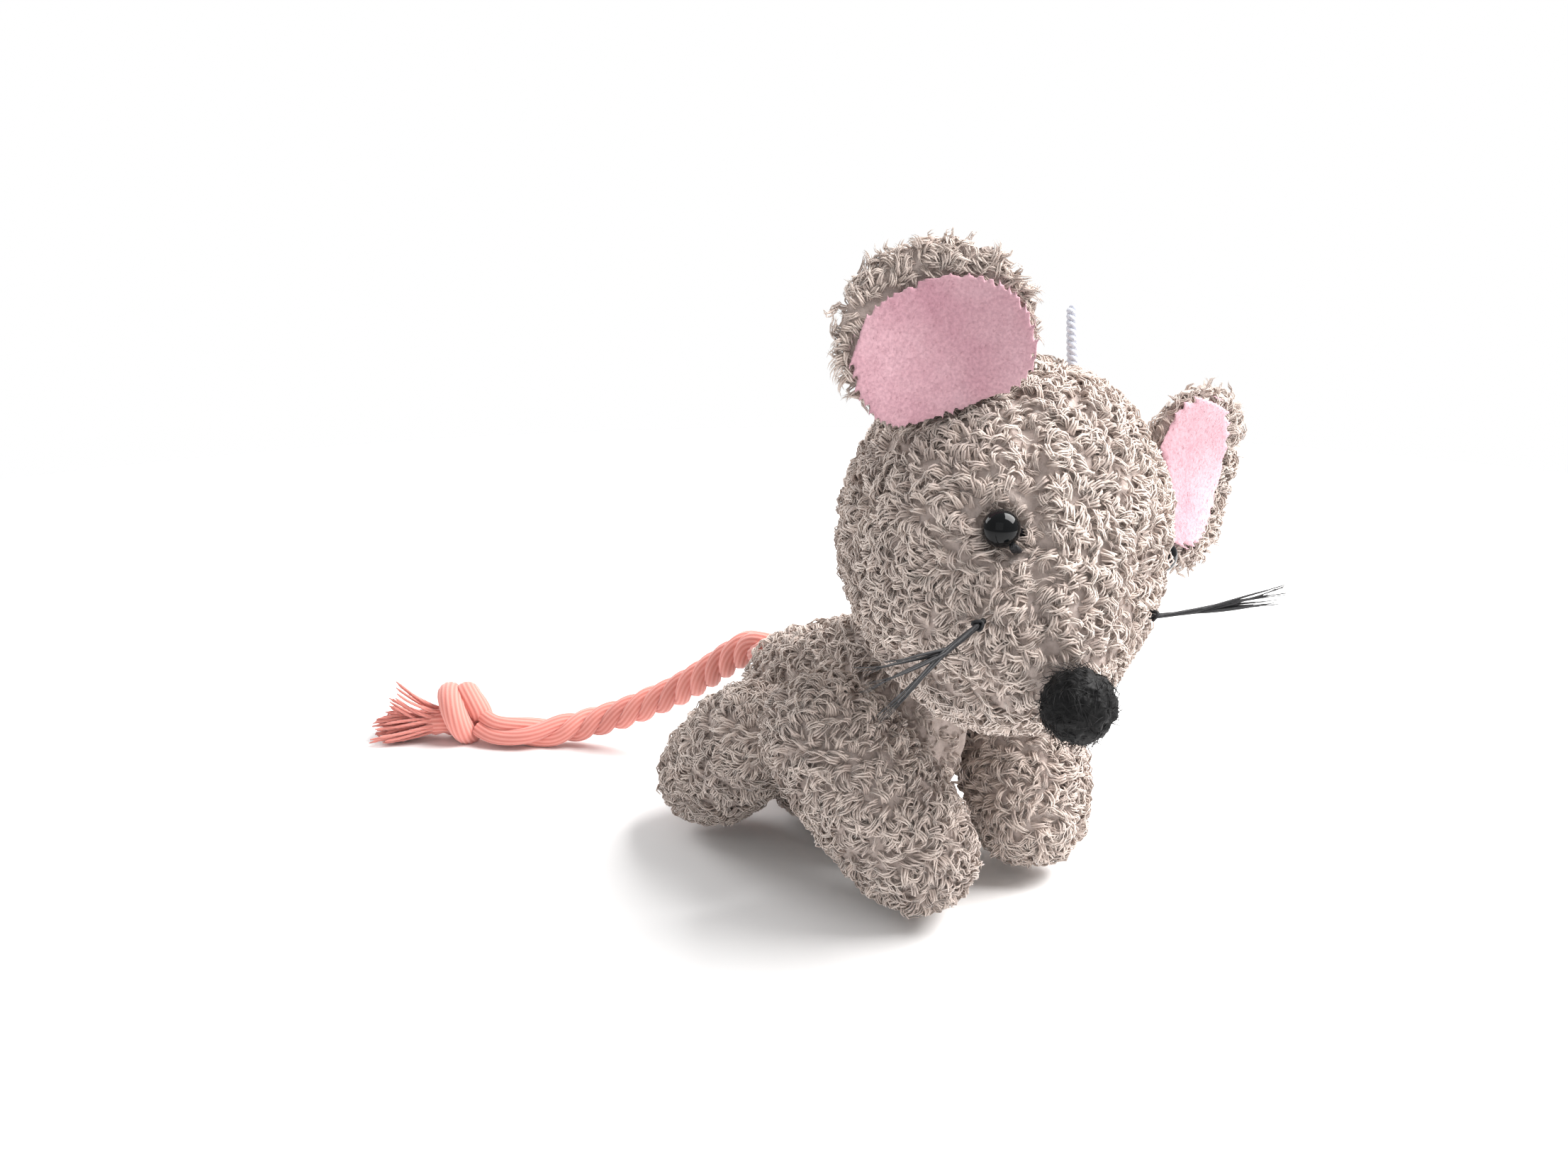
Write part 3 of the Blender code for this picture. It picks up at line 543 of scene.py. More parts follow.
class Tree:
    """A Geometry Nodes tree with named inputs, built node by node."""

    def __init__(self, name, inputs):
        self.tree = bpy.data.node_groups.new(name, "GeometryNodeTree")
        face = self.tree.interface
        face.new_socket("Geometry", in_out="INPUT", socket_type="NodeSocketGeometry")
        face.new_socket("Geometry", in_out="OUTPUT", socket_type="NodeSocketGeometry")
        for label, kind in inputs.items():
            face.new_socket(label, in_out="INPUT", socket_type="NodeSocket" + kind)
        self.given = self.tree.nodes.new("NodeGroupInput")
        self.result = self.tree.nodes.new("NodeGroupOutput")

    def add(self, kind, links=(), **settings):
        whole = kind if kind.startswith(("Function", "Shader")) else "GeometryNode" + kind
        node = self.tree.nodes.new(whole)
        for key, value in settings.items():
            setattr(node, key, value)
        for socket, source in dict(links).items():
            if hasattr(source, "is_linked"):
                self.tree.links.new(source, node.inputs[socket])
            else:
                node.inputs[socket].default_value = source
        return node

    def math(self, operation, a, b=0.0):
        return self.add("ShaderNodeMath", {0: a, 1: b}, operation=operation).outputs[0]

    def named(self, name):
        return self.add("InputNamedAttribute", {"Name": name}, data_type="FLOAT").outputs["Attribute"]

    def store(self, geometry, name, value, domain="POINT"):
        """Writes a number on the geometry, under a name that a finish can read."""
        return self.add("StoreNamedAttribute", {
            "Geometry": geometry, "Name": name, "Value": value}, data_type="FLOAT", domain=domain).outputs[0]

    def random(self, low, high, seed):
        node = self.add("FunctionNodeRandomValue", data_type="FLOAT")
        floats = [s for s in node.inputs if s.type == "VALUE"]
        floats[0].default_value, floats[1].default_value = low, high
        node.inputs["Seed"].default_value = seed
        return next(s for s in node.outputs if s.type == "VALUE" and s.enabled)

    def finish(self, geometry):
        self.tree.links.new(geometry, self.result.inputs["Geometry"])
        return self.tree


def grown(obj, tree, values, name):
    """Runs a tree on an object and returns the result as a new plain mesh object."""
    modifier = obj.modifiers.new("growth", "NODES")
    modifier.node_group = tree
    sockets = {s.name: s.identifier for s in tree.interface.items_tree if s.in_out == "INPUT"}
    for label, value in values.items():
        modifier[sockets[label]] = value
    evaluated = obj.evaluated_get(bpy.context.evaluated_depsgraph_get())
    mesh = bpy.data.meshes.new_from_object(evaluated)
    mesh.name = name
    obj.modifiers.remove(modifier)
    piece = bpy.data.objects.new(name, mesh)
    bpy.context.scene.collection.objects.link(piece)
    return piece


# %% The pile tree
EVENNESS = 0.62         # how near two locks may stand, against the spacing of an even grid
SWIRL_TURNS = 19.0      # radians that the swirl noise turns a lock through, from its lowest to its highest


def pile_tree():
    tree = Tree("pile", {
        "Per square metre": "Float", "Lock size": "Float", "Swirl scale": "Float", "Seed": "Int",
        "Shapes": "Collection", "Finish": "Material"})
    given = tree.given.outputs
    spacing = tree.math("DIVIDE", EVENNESS, tree.math("SQRT", given["Per square metre"]))
    sown = tree.add("DistributePointsOnFaces", {
        "Mesh": given["Geometry"], "Distance Min": spacing, "Density Max": given["Per square metre"],
        "Density Factor": tree.named("pile"), "Seed": given["Seed"]}, distribute_method="POISSON")
    upright = tree.add("FunctionNodeAlignRotationToVector", {"Vector": sown.outputs["Normal"]}, axis="Z")
    place = tree.add("InputPosition").outputs[0]
    swirl = tree.add("ShaderNodeTexNoise", {"Vector": place, "Scale": given["Swirl scale"], "Detail": 1.5})
    turn = tree.math("ADD", tree.math("MULTIPLY", swirl.outputs[0], SWIRL_TURNS), tree.random(-0.8, 0.8, 3))
    spin = tree.add("FunctionNodeAxisAngleToRotation", {"Axis": (0, 0, 1), "Angle": turn})
    tilt = tree.add("FunctionNodeAxisAngleToRotation", {
        "Axis": (0, 1, 0), "Angle": tree.random(-0.25, 0.35, 5)})
    turned = tree.add("FunctionNodeRotateRotation", {
        "Rotation": upright.outputs[0], "Rotate By": spin.outputs[0]}, rotation_space="LOCAL")
    tilted = tree.add("FunctionNodeRotateRotation", {
        "Rotation": turned.outputs[0], "Rotate By": tilt.outputs[0]}, rotation_space="LOCAL")
    size = tree.math("MULTIPLY", given["Lock size"], tree.random(0.78, 1.25, 11))
    size = tree.math("MULTIPLY", size, tree.math("POWER", tree.named("pile"), 0.6))
    shapes = tree.add("CollectionInfo", {
        "Collection": given["Shapes"], "Separate Children": True, "Reset Children": True})
    locks = tree.add("InstanceOnPoints", {
        "Points": sown.outputs["Points"], "Instance": shapes.outputs[0], "Pick Instance": True,
        "Rotation": tilted.outputs[0], "Scale": size})
    toned = tree.store(locks.outputs[0], "tone", tree.random(0.0, 1.0, 17), "INSTANCE")
    real = tree.add("RealizeInstances", {"Geometry": toned})
    dressed = tree.add("SetMaterial", {"Geometry": real.outputs[0], "Material": given["Finish"]})
    both = tree.add("JoinGeometry")
    tree.tree.links.new(dressed.outputs[0], both.inputs[0])
    tree.tree.links.new(given["Geometry"], both.inputs[0])
    return tree.finish(both.outputs[0])


pile = pile_tree()
LOCKS_PER_MM2 = 1.7
SWIRL = 165.0


def furred(skin, name, seed, size=0.9, amount=1.0):
    """The skin with its locks, as one plain mesh. The bare skin goes."""
    piece = grown(skin, pile, {
        "Per square metre": LOCKS_PER_MM2 * amount / MM**2, "Lock size": size, "Swirl scale": SWIRL,
        "Seed": seed, "Shapes": lock_shapes, "Finish": plush}, name)
    bpy.data.objects.remove(skin)
    return piece


def settle(piece, body, slot, *replaced):
    """The calls that every finished piece needs."""
    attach(piece, body)
    if replaced:
        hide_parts(*replaced)
    return piece


# %% [markdown]
# ## Head, torso and limbs
# The head's skin is the finest, since it fills most of the view. Its pile stays clear of the eyes, which
# are sewn down to the backing, and thins out round the nose, which the skin comes out to meet. The
# torso's skin comes up to the head like a short neck, and its pile thins out next to each limb, so that
# the darker backing shows there as painted shade and a limb's edge looks like a shallow crease.

# %% The head


def middle_of(node):
    low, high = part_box(node)
    return (low + high) / 2


NOSE = middle_of("nose_ball")
EYES = {side: middle_of(f"eye_{side}") for side in ("left", "right")}
HEAD_PANELS = ["head_crown_gusset", "head_cheek_left", "head_cheek_right", "head_chin_panel"]
ROUND_NOSE, ROUND_EYE = (0.0042, 0.0075), (0.0021, 0.0038)      # no pile nearer, and all of it farther
NOSE_SEAT = (0.012, 0.0030)      # how far round the nose the skin comes out to it, and by how much
head_skin = stuffed_part(
    "head_skin", HEAD_PANELS, foot=False, detail=6, swell=[(NOSE, *NOSE_SEAT)],
    bare=[(NOSE, *ROUND_NOSE), (EYES["left"], *ROUND_EYE), (EYES["right"], *ROUND_EYE)])
head = furred(head_skin, "head_plush", seed=1)
settle(head, "head", "curly_plush", *HEAD_PANELS, "head_stuffing")
print("head plush:", len(head.data.polygons), "faces")

# %% The torso
TORSO_PANELS = ["torso_side_left", "torso_side_right", "torso_belly_panel"]
NECK = middle_of("neck_thread")
NECK_RISE = (0.011, 0.0024)
LIMBS = [(kind, side) for kind in ("foreleg", "hindleg") for side in ("left", "right")]
torso_skin = stuffed_part(
    "torso_skin", TORSO_PANELS, swell=[(NECK, *NECK_RISE)],
    shade_beside=[f"{kind}_{side}_skin" for kind, side in LIMBS])
torso = furred(torso_skin, "torso_plush", seed=2, amount=0.8)
settle(torso, "torso", "curly_plush", *TORSO_PANELS, "torso_stuffing")
print("torso plush:", len(torso.data.polygons), "faces")

# %% The limbs
for kind, side in LIMBS:
    panel = f"{kind}_{side}_skin"
    skin = stuffed_part(f"{kind}_{side}_soft", [panel], puff=0.0004)
    limb = furred(skin, f"{kind}_{side}_plush", seed=3 + len(kind + side), amount=0.95)
    settle(limb, f"{kind}_{side}", "curly_plush", panel, f"{kind}_{side}_stuffing")
    print(limb.name, len(limb.data.polygons), "faces")

# %% [markdown]
# ## Ears
# An ear is a flat pocket of plush with a piece of pink felt on its front, folded over so that it cups
# forwards. The back takes the same pile as the rest. It stops where the felt lies, and the locks at
# the felt's edge lean over it, which hides the seam as on the real ear.

# %% Felt
FELT_PINK, FELT_DEEP, FELT_PALE = (0.58, 0.335, 0.385), (0.51, 0.265, 0.32), (0.64, 0.40, 0.45)


def felt_finish():
    finish = Finish("pink_felt", Roughness=0.95, Sheen_Weight=0.25, Sheen_Roughness=0.5)
    soft = finish.ramp(finish.noise(130.0, 4.0), [(0.3, FELT_DEEP), (0.5, FELT_PINK), (0.75, FELT_PALE)])
    fine = finish.ramp(finish.noise(2600.0, 3.0), [(0.35, (0.86, 0.84, 0.85)), (0.65, (1.06, 1.06, 1.06))])
    finish.colour(finish.mix(1.0, soft, fine, "MULTIPLY"))
    finish.bump(finish.noise(2300.0, 5.0), 0.35, 0.0002)
    return finish.material


felt = felt_finish()


def soft_copy(node, name, voxel, rounds, finish):
    """A fine, smooth copy of one of the frame's solids, remeshed in voxels so that its facets go."""
    start = bpy.data.objects.new(name, nodes[node].data.copy())
    bpy.context.scene.collection.objects.link(start)
    remesh = start.modifiers.new("even", "REMESH")
    remesh.mode, remesh.voxel_size = "VOXEL", voxel
    smooth = start.modifiers.new("soft", "SMOOTH")
    smooth.iterations, smooth.factor = rounds, 0.5
    evaluated = start.evaluated_get(bpy.context.evaluated_depsgraph_get())
    mesh = bpy.data.meshes.new_from_object(evaluated)
    bpy.data.objects.remove(start)
    mesh.name = name
    mesh.materials.clear()
    mesh.materials.append(finish)
    mesh.shade_smooth()
    soft = bpy.data.objects.new(name, mesh)
    bpy.context.scene.collection.objects.link(soft)
    return soft


def gaps_to(obj, node):
    """Each vertex's distance to one of the frame's solids."""
    tree = panel_tree([node])
    return np.array([tree.find_nearest(v.co)[3] for v in obj.data.vertices])


# %% [markdown]
# Felt has a nap: short loose fibres that catch the light along its edge. They are sown by the same tree
# as the pile, from three bent fibres.

# %% Nap shapes


def nap_fibre(length, rise, gauge):
    """One loose fibre, bent sideways by chance, in millimetres."""
    curl = rng.uniform(-1.2, 1.2)
    fibre = []
    for s in (0.0, 0.33, 0.66, 1.0):
        place = Vector((length * s, curl * length * 0.35 * s * s, rise * sin(pi * s * 0.8) - 0.05))
        fibre.append((place, gauge * (1 - 0.6 * s)))
    return fibre


nap_shapes = shelf("nap", [[nap_fibre(0.9, 0.2, 0.03)] for _ in range(3)])

# %% [markdown]
# The pile of an ear starts where its felt ends, and the nap covers only the felt's outer face. Both
# limits come from distances to the other piece of the same ear.

# %% Both ears
PILE_STARTS, PILE_FULL_OVER = 0.0006, 0.0008      # how far from the felt
EAR_SINK = 0.0004
NAP_FROM_BACK = 0.0008                            # the felt's outer face is farther than this from the plush
NAP_LEAST, NAP_OVER = 0.55, 0.3                   # how squarely a spot has to face out

for side in ("left", "right"):
    back_skin = soft_copy(f"ear_back_{side}", f"ear_skin_{side}", 0.0006, 5, backing)
    gap = gaps_to(back_skin, f"ear_lining_{side}")
    set_pile(back_skin, np.clip((gap - PILE_STARTS) / PILE_FULL_OVER, 0.0, 1.0))
    for v in back_skin.data.vertices:
        v.co -= v.normal * EAR_SINK
    back = furred(back_skin, f"ear_plush_{side}", seed=21, size=0.8, amount=1.25)
    settle(back, f"ear_{side}", "curly_plush", f"ear_back_{side}")

    felt_skin = soft_copy(f"ear_lining_{side}", f"felt_skin_{side}", 0.00035, 4, felt)
    off_back = gaps_to(felt_skin, f"ear_back_{side}") > NAP_FROM_BACK
    normals = np.array([v.normal for v in felt_skin.data.vertices])
    face_way = normals[off_back].mean(0) / np.linalg.norm(normals[off_back].mean(0))
    set_pile(felt_skin, off_back * np.clip((normals @ face_way - NAP_LEAST) / NAP_OVER, 0.0, 1.0))
    lining = grown(felt_skin, pile, {
        "Per square metre": 7.0e6, "Lock size": 0.6, "Swirl scale": 900.0, "Seed": 5,
        "Shapes": nap_shapes, "Finish": felt}, f"ear_felt_{side}")
    bpy.data.objects.remove(felt_skin)
    settle(lining, f"ear_{side}", "pink_felt", f"ear_lining_{side}")
    print(back.name, len(back.data.polygons), "faces;", lining.name, len(lining.data.polygons), "faces")

# %% [markdown]
# ## Nose
# The nose is a ball of black wool, felted with a needle: dimpled, lumpy and matt, with loose fibres
# round it. Its lumps are real displacement, since they show on its outline.

# %% The felted ball
NOSE_SIZE = (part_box("nose_ball")[1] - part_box("nose_ball")[0]).x / 2


def wool_finish():
    finish = Finish("black_wool", Roughness=0.6, Specular_IOR_Level=0.25)
    finish.colour(finish.ramp(finish.attribute("along"), [
        (0.0, (0.003, 0.003, 0.0033)), (0.6, (0.005, 0.005, 0.0056)), (1.0, (0.015, 0.0155, 0.017))]))
    finish.bump(finish.noise(1500.0, 4.0), 0.9, 0.0003)
    return finish.material


wool = wool_finish()
bm = ball(5, Vector())
for v in bm.verts:
    way = v.co.normalized()
    lumps = noise.noise(way * 2.2) * 0.055 + noise.noise(way * 6.0 + Vector((3, 1, 2))) * 0.04
    dimples = -0.07 * max(0.0, noise.noise(way * 4.0 + Vector((7, 7, 1)))) ** 0.7
    v.co = NOSE + way * NOSE_SIZE * (0.94 + 1.3 * lumps + 1.6 * dimples)
nose_mesh = bpy.data.meshes.new("nose_skin")
bm.to_mesh(nose_mesh)
bm.free()
nose_mesh.shade_smooth()
nose_mesh.materials.append(wool)
nose_skin = bpy.data.objects.new("nose_skin", nose_mesh)
bpy.context.scene.collection.objects.link(nose_skin)
set_pile(nose_skin, np.ones(len(nose_mesh.vertices)))
wool_shapes = shelf("wool", [[nap_fibre(2.4, 0.28, 0.055)] for _ in range(4)])
nose = grown(nose_skin, pile, {
    "Per square metre": 3.2e6, "Lock size": 1.0, "Swirl scale": 260.0, "Seed": 9,
    "Shapes": wool_shapes, "Finish": wool}, "nose_felted_ball")
bpy.data.objects.remove(nose_skin)
settle(nose, "head", "black_felt", "nose_ball")
print("nose:", len(nose.data.polygons), "faces")

# %% [markdown]
# ## Threads, yarns and cords
# Everything long and thin is a line swept with a round or lobed section. One tree does it: the lines come
# as a curve object whose points carry their own thickness, and the tree lays a circle along each.

# %% The thread tree
LOBE_DEPTH = 0.035      # how deep the furrows between a rope's yarns are, against a strand's radius


def thread_tree():
    tree = Tree("thread", {
        "Gauge": "Float", "Sides": "Int", "Lobes": "Float", "Twist": "Float", "Finish": "Material"})
    given = tree.given.outputs
    length = tree.add("SplineParameter").outputs["Length"]
    tilted = tree.add("SetCurveTilt", {
        "Curve": given["Geometry"], "Tilt": tree.math("MULTIPLY", length, given["Twist"])})
    marked = tree.store(tilted.outputs[0], "along", tree.add("SplineParameter").outputs["Factor"])
    toned = tree.store(marked, "tone", tree.random(0.0, 1.0, 4), "CURVE")
    circle = tree.add("CurvePrimitiveCircle", {"Resolution": given["Sides"], "Radius": given["Gauge"]})
    round_way = tree.math("MULTIPLY", tree.add("SplineParameter").outputs["Factor"], 2 * pi)
    wave = tree.math("COSINE", tree.math("MULTIPLY", round_way, given["Lobes"]))
    deep = tree.math("ADD", 1.0, tree.math("MULTIPLY", wave, LOBE_DEPTH))
    place = tree.add("InputPosition").outputs[0]
    grow = tree.add("ShaderNodeVectorMath", {0: place, "Scale": deep}, operation="SCALE")
    section = tree.add("SetPosition", {"Geometry": circle.outputs[0], "Position": grow.outputs[0]})
    # The wave round each section is also kept on the mesh; the cotton finish paints shade in the furrows and
    # light on the ridges by it.
    grooved = tree.store(section.outputs[0], "ridge", wave)
    laid = tree.add("CurveToMesh", {
        "Curve": toned, "Profile Curve": grooved, "Scale": tree.add("InputRadius").outputs[0],
        "Fill Caps": True})
    smooth = tree.add("SetShadeSmooth", {"Geometry": laid.outputs[0]})
    real = tree.add("RealizeInstances", {"Geometry": smooth.outputs[0]})
    dressed = tree.add("SetMaterial", {"Geometry": real.outputs[0], "Material": given["Finish"]})
    return tree.finish(dressed.outputs[0])


thread = thread_tree()

# %% [markdown]
# A line is a list of places with a thickness each, from 0 to 1. `swept` hands such lines to the tree,
# and `spline_through` draws a smooth line through a few chosen places.

# %% Lines and sweeps


def swept(name, lines, gauge, finish, sides=6, lobes=0.0, twist=0.0):
    """A mesh of threads along lines, each a list of (point in metres, thickness from 0 to 1)."""
    curve = bpy.data.curves.new(name, "CURVE")
    curve.dimensions = "3D"
    for line in lines:
        spline = curve.splines.new("POLY")
        spline.points.add(len(line) - 1)
        for point, (place, thickness) in zip(spline.points, line):
            point.co = (*place, 1.0)
            point.radius = thickness
    holder = bpy.data.objects.new(name + "_line", curve)
    bpy.context.scene.collection.objects.link(holder)
    piece = grown(holder, thread, {
        "Gauge": gauge, "Sides": sides, "Lobes": lobes, "Twist": twist, "Finish": finish}, name)
    bpy.data.objects.remove(holder)
    return piece


def spline_through(points, count):
    """Evenly numbered places on a smooth line through the points."""
    places = []
    last = len(points) - 1
    for n in range(count + 1):
        t = last * n / count
        i = min(int(t), last - 1)
        u = t - i
        a, b = points[max(0, i - 1)], points[i]
        c, d = points[i + 1], points[min(last, i + 2)]
        square, cube = 2 * a - 5 * b + 4 * c - d, 3 * b - a - 3 * c + d
        places.append(0.5 * (2 * b + (c - a) * u + square * u**2 + cube * u**3))
    return places


def cotton_finish(name, deep, mid, pale):
    finish = Finish(name, Roughness=0.9, Sheen_Weight=0.35, Sheen_Roughness=0.45)
    # Painted shade in the furrows between the yarns and painted light on their ridges, by the wave kept on
    # the mesh.
    height = finish.math("ADD", finish.math("MULTIPLY", finish.attribute("ridge"), 0.5), 0.5)
    ridge = finish.ramp(height, [(0.0, deep), (0.55, mid), (1.0, pale)])
    shade = finish.ramp(finish.attribute("tone"), [(0.0, (0.90, 0.86, 0.86)), (1.0, (1.07, 1.07, 1.07))])
    finish.colour(finish.mix(1.0, ridge, shade, "MULTIPLY"))
    finish.bump(finish.noise(3000.0, 3.0), 0.4, 0.00015)
    return finish.material


# The three colours run from painted shade in the furrows to painted light on the ridges; the rope's own pink
# lies between.
pink_cotton = cotton_finish(
    "pink_cotton_rope", (0.60, 0.19, 0.155), (0.70, 0.265, 0.222), (0.76, 0.33, 0.285))

# %% [markdown]
# ## The tail
# The tail is a length of three-strand cotton rope. It leaves the rump, droops to the ground and lies on
# it up to its knot. Twisted rope could be painted on a tube, but its strands show on the outline, so
# three strands wind round the tail's own line, each with yarns of its own. They wind less and less
# towards the knot, where the lay of the rope has opened.

# %% The rope's line, its strands and the laid rope
TAIL_ROUTE = [Vector(p) * MM for p in (
    (0.4, 19.2, 25.4), (0.6, 22.2, 25.2), (0.3, 26.2, 23.0), (-0.2, 33.2, 18.2),
    (-1.3, 40.6, 13.2), (-3.3, 46.0, 10.0), (-5.8, 50.4, 7.4), (-8.2, 54.6, 5.4),
    (-11.2, 58.2, 3.8), (-15.1, 61.2, 2.9), (-19.4, 64.0, 2.75), (-22.6, 67.6, 2.9), (-23.9, 71.0, 3.6))]
ROPE_RADIUS = 0.0027
STRAND_RADIUS, STRAND_OFFSET = 0.53 * ROPE_RADIUS, 0.50 * ROPE_RADIUS
ROPE_LAY = 0.0135            # one full turn of a strand
LOOSENS_OVER = 0.016         # how far from the knot the lay starts to open
LEAD_IN, LEAD_STEPS = 0.003, 6
ROPE_STEPS = 150
YARNS_ROUND = 12.0           # furrows round a strand, and how tightly they wind, in radians a metre
YARN_TWIST = 60.0


def frames_along(places):
    """A direction and two directions across it at each place, carried along without spinning."""
    found, across = [], None
    for i, place in enumerate(places):
        ahead = (places[min(i + 1, len(places) - 1)] - places[max(i - 1, 0)]).normalized()
        if across is None:
            across = ahead.cross(Vector((0, 0, 1))).normalized()
        across = (across - ahead * across.dot(ahead)).normalized()
        found.append((place, ahead, across, across.cross(ahead)))
    return found


rope_line = spline_through(TAIL_ROUTE, ROPE_STEPS)
inside = rope_line[0] - (rope_line[3] - rope_line[0]).normalized() * LEAD_IN
laid_line = [inside.lerp(rope_line[0], k / LEAD_STEPS) for k in range(LEAD_STEPS)] + rope_line
rope_length = sum((b - a).length for a, b in zip(rope_line, rope_line[1:]))
strands, run = [[], [], []], 0.0
previous = laid_line[0]
for place, ahead, across, over in frames_along(laid_line):
    run += (place - previous).length
    previous = place
    loose = max(0.0, run - (rope_length - LOOSENS_OVER))
    angle = 2 * pi / ROPE_LAY * (run - loose**2 / (2 * LOOSENS_OVER))
    for number, line in enumerate(strands):
        a = angle + 2 * pi * number / 3
        line.append((place + (across * cos(a) + over * sin(a)) * STRAND_OFFSET, 1.0))
rope = swept(
    "tail_rope_laid", strands, STRAND_RADIUS, pink_cotton, sides=60, lobes=YARNS_ROUND, twist=YARN_TWIST)
print("rope length mm:", round(rope_length / MM, 1), "faces", len(rope.data.polygons))

# %% [markdown]
# The knot is an overhand knot in the opened rope: the bundle wraps once and a half round itself and
# leaves through its own loop. Then come the cut yarns of the tassel, flattened on the ground, with a
# few that stand up at the far end.

# %% The knot
KNOT = middle_of("tail_knot")
TASSEL_LOW, TASSEL_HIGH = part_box("tail_tassel")
tassel_middle = (TASSEL_LOW + TASSEL_HIGH) / 2
UP = Vector((0, 0, 1))
knot_way = tassel_middle - rope_line[-1]
knot_way.z = 0.0
knot_way.normalize()
knot_side = UP.cross(knot_way).normalized()


def in_knot(a, b, c):
    """A place in the knot: `a` mm along the rope, `b` to its side, `c` up."""
    return KNOT + (knot_way * a + knot_side * b + UP * c) * MM


WRAP_STEPS = 40
WRAP_FROM, WRAP_THROUGH = 60, 560      # in degrees round the knot
BUNDLE_RADIUS = 0.0022
wraps = []
for n in range(WRAP_STEPS + 1):
    t = n / WRAP_STEPS
    turn = radians(WRAP_FROM + WRAP_THROUGH * t)
    wraps.append(in_knot(-2.6 + 5.0 * t + 0.9 * sin(turn), 3.3 * cos(turn), 3.6 * sin(turn) + 0.3))
knot_start = [rope_line[-1], in_knot(-3.8, 0.0, -0.6), in_knot(-3.3, 0.8, 1.6)]
knot_end = [in_knot(3.0, 0.5, -1.0), in_knot(5.2, 0.2, -1.6)]
knot_places = spline_through(knot_start + wraps[2:-2] + knot_end, ROPE_STEPS)
knot = swept(
    "tail_knot_wraps", [[(p, 1.0) for p in knot_places]], BUNDLE_RADIUS, pink_cotton, 66, 16.0, 120.0)

# %% The tassel
YARNS = 95
YARN_RADIUS = 0.00043
YARN_STEPS = 12
UPTURNED_EVERY = 6
yarns = []
for number in range(YARNS):
    around = rng.uniform(0, 2 * pi)
    spread = rng.uniform(0.0, 1.0) ** 0.5
    b, c = cos(around) * spread, sin(around) * spread
    reach = rng.uniform(9.5, 13.3)
    wave, phase = rng.uniform(0.2, 0.6), rng.uniform(0, 2 * pi)
    upturned = number % UPTURNED_EVERY == 0
    line = []
    for i in range(YARN_STEPS + 1):
        s = i / YARN_STEPS
        fan = 1.7 + 3.3 * s**0.8
        along = reach * s * (0.8 if upturned else 1.0)
        lift = (5.4 * s**1.6 + 0.5) if upturned else 0.0
        place = in_knot(
            3.2 + along, b * fan * 1.05 + wave * sin(5.2 * s + phase) * s,
            -1.6 * s + c * (1.9 + 0.9 * s) + lift - 1.0 + wave * cos(4.1 * s + phase) * s)
        place.z = max(place.z, 0.0004 + 0.0009 * rng.random())
        line.append((place, (1.0 - 0.45 * s) if i < YARN_STEPS else 0.25))
    yarns.append(line)
tassel = swept("tail_tassel_yarns", yarns, YARN_RADIUS, pink_cotton, 7, 3.0, 900.0)
print("knot and tassel:", len(knot.data.polygons), len(tassel.data.polygons), "faces")

# %% The tail's pieces, each on the tail's body in place of the frame's solids
settle(rope, "tail", "pink_cotton_rope", "tail_rope")
settle(knot, "tail", "pink_cotton_rope", "tail_knot")
settle(tassel, "tail", "pink_cotton_rope", "tail_tassel")

# %% [markdown]
# ## Eyes
# Each eye is a glass-like black bead. A thread through its hole pulls it into the stuffing, so the
# plush closes round it. The hole and the stitch show at the bead's lower rim.

# %% Beads and their stitches
BEAD_RADIUS = (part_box("eye_right")[1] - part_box("eye_right")[0]).x / 2
HOLE_RADIUS = 0.00042
ROUND_THE_BEAD = 40
HEAD_MIDDLE = (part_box("head_stuffing")[0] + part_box("head_stuffing")[1]) / 2
bead_black = Finish(
    "black_bead", Roughness=0.06, Base_Color=(0.004, 0.0045, 0.005, 1.0), Specular_IOR_Level=0.2)
bead_black.bump(bead_black.noise(400.0, 1.0), 0.04, 0.0001)


def thread_finish(name, deep, pale):
    finish = Finish(name, Roughness=0.6, Specular_IOR_Level=0.35)
    finish.colour(finish.ramp(finish.noise(3800.0, 2.0), [(0.3, deep), (0.7, pale)]))
    finish.bump(finish.noise(5200.0, 2.0), 0.4, 0.0001)
    return finish.material


black_thread = thread_finish("black_thread", (0.005, 0.005, 0.006), (0.02, 0.02, 0.023))
joint_thread = thread_finish("joint_thread", (0.10, 0.075, 0.065), (0.20, 0.16, 0.14))


def bead_mesh(name, centre, axis):
    """A drilled bead, turned about its axis: a round outside that rolls in to a narrow hole."""
    bm = bmesh.new()
    turn = axis.to_track_quat("Z", "Y").to_matrix()
    opening = HOLE_RADIUS / BEAD_RADIUS
    outline = [(sin(a), cos(a)) for a in np.linspace(0.24, pi - 0.24, 27)]
    outline = [(opening, 0.90)] + outline + [(opening, -0.90)]
    rings = []
    for across, along in outline:
        ring = []
        for k in range(ROUND_THE_BEAD):
            a = 2 * pi * k / ROUND_THE_BEAD
            spot = Vector((across * cos(a), across * sin(a), along)) * BEAD_RADIUS
            ring.append(bm.verts.new(centre + turn @ spot))
        rings.append(ring)
    for a, b in zip(rings, rings[1:] + rings[:1]):
        for k in range(ROUND_THE_BEAD):
            m = (k + 1) % ROUND_THE_BEAD
            bm.faces.new((a[k], a[m], b[m], b[k]))
    bmesh.ops.recalc_face_normals(bm, faces=bm.faces)
    mesh = bpy.data.meshes.new(name)
    bm.to_mesh(mesh)
    bm.free()
    mesh.shade_smooth()
    mesh.materials.append(bead_black.material)
    return mesh


# %% The beads and the stitches that hold them
STITCH_STEPS = 24
STITCH_THREADS = 4
STITCH_RADIUS, STITCHES_APART = 0.00024, 0.00025
STITCH_WOBBLE = 0.000015      # sewing thread is never quite smooth


def stitch(points):
    return [
        (p + Vector(rng.normal(0, 1, 3)) * STITCH_WOBBLE, 1.0) for p in spline_through(points, STITCH_STEPS)]


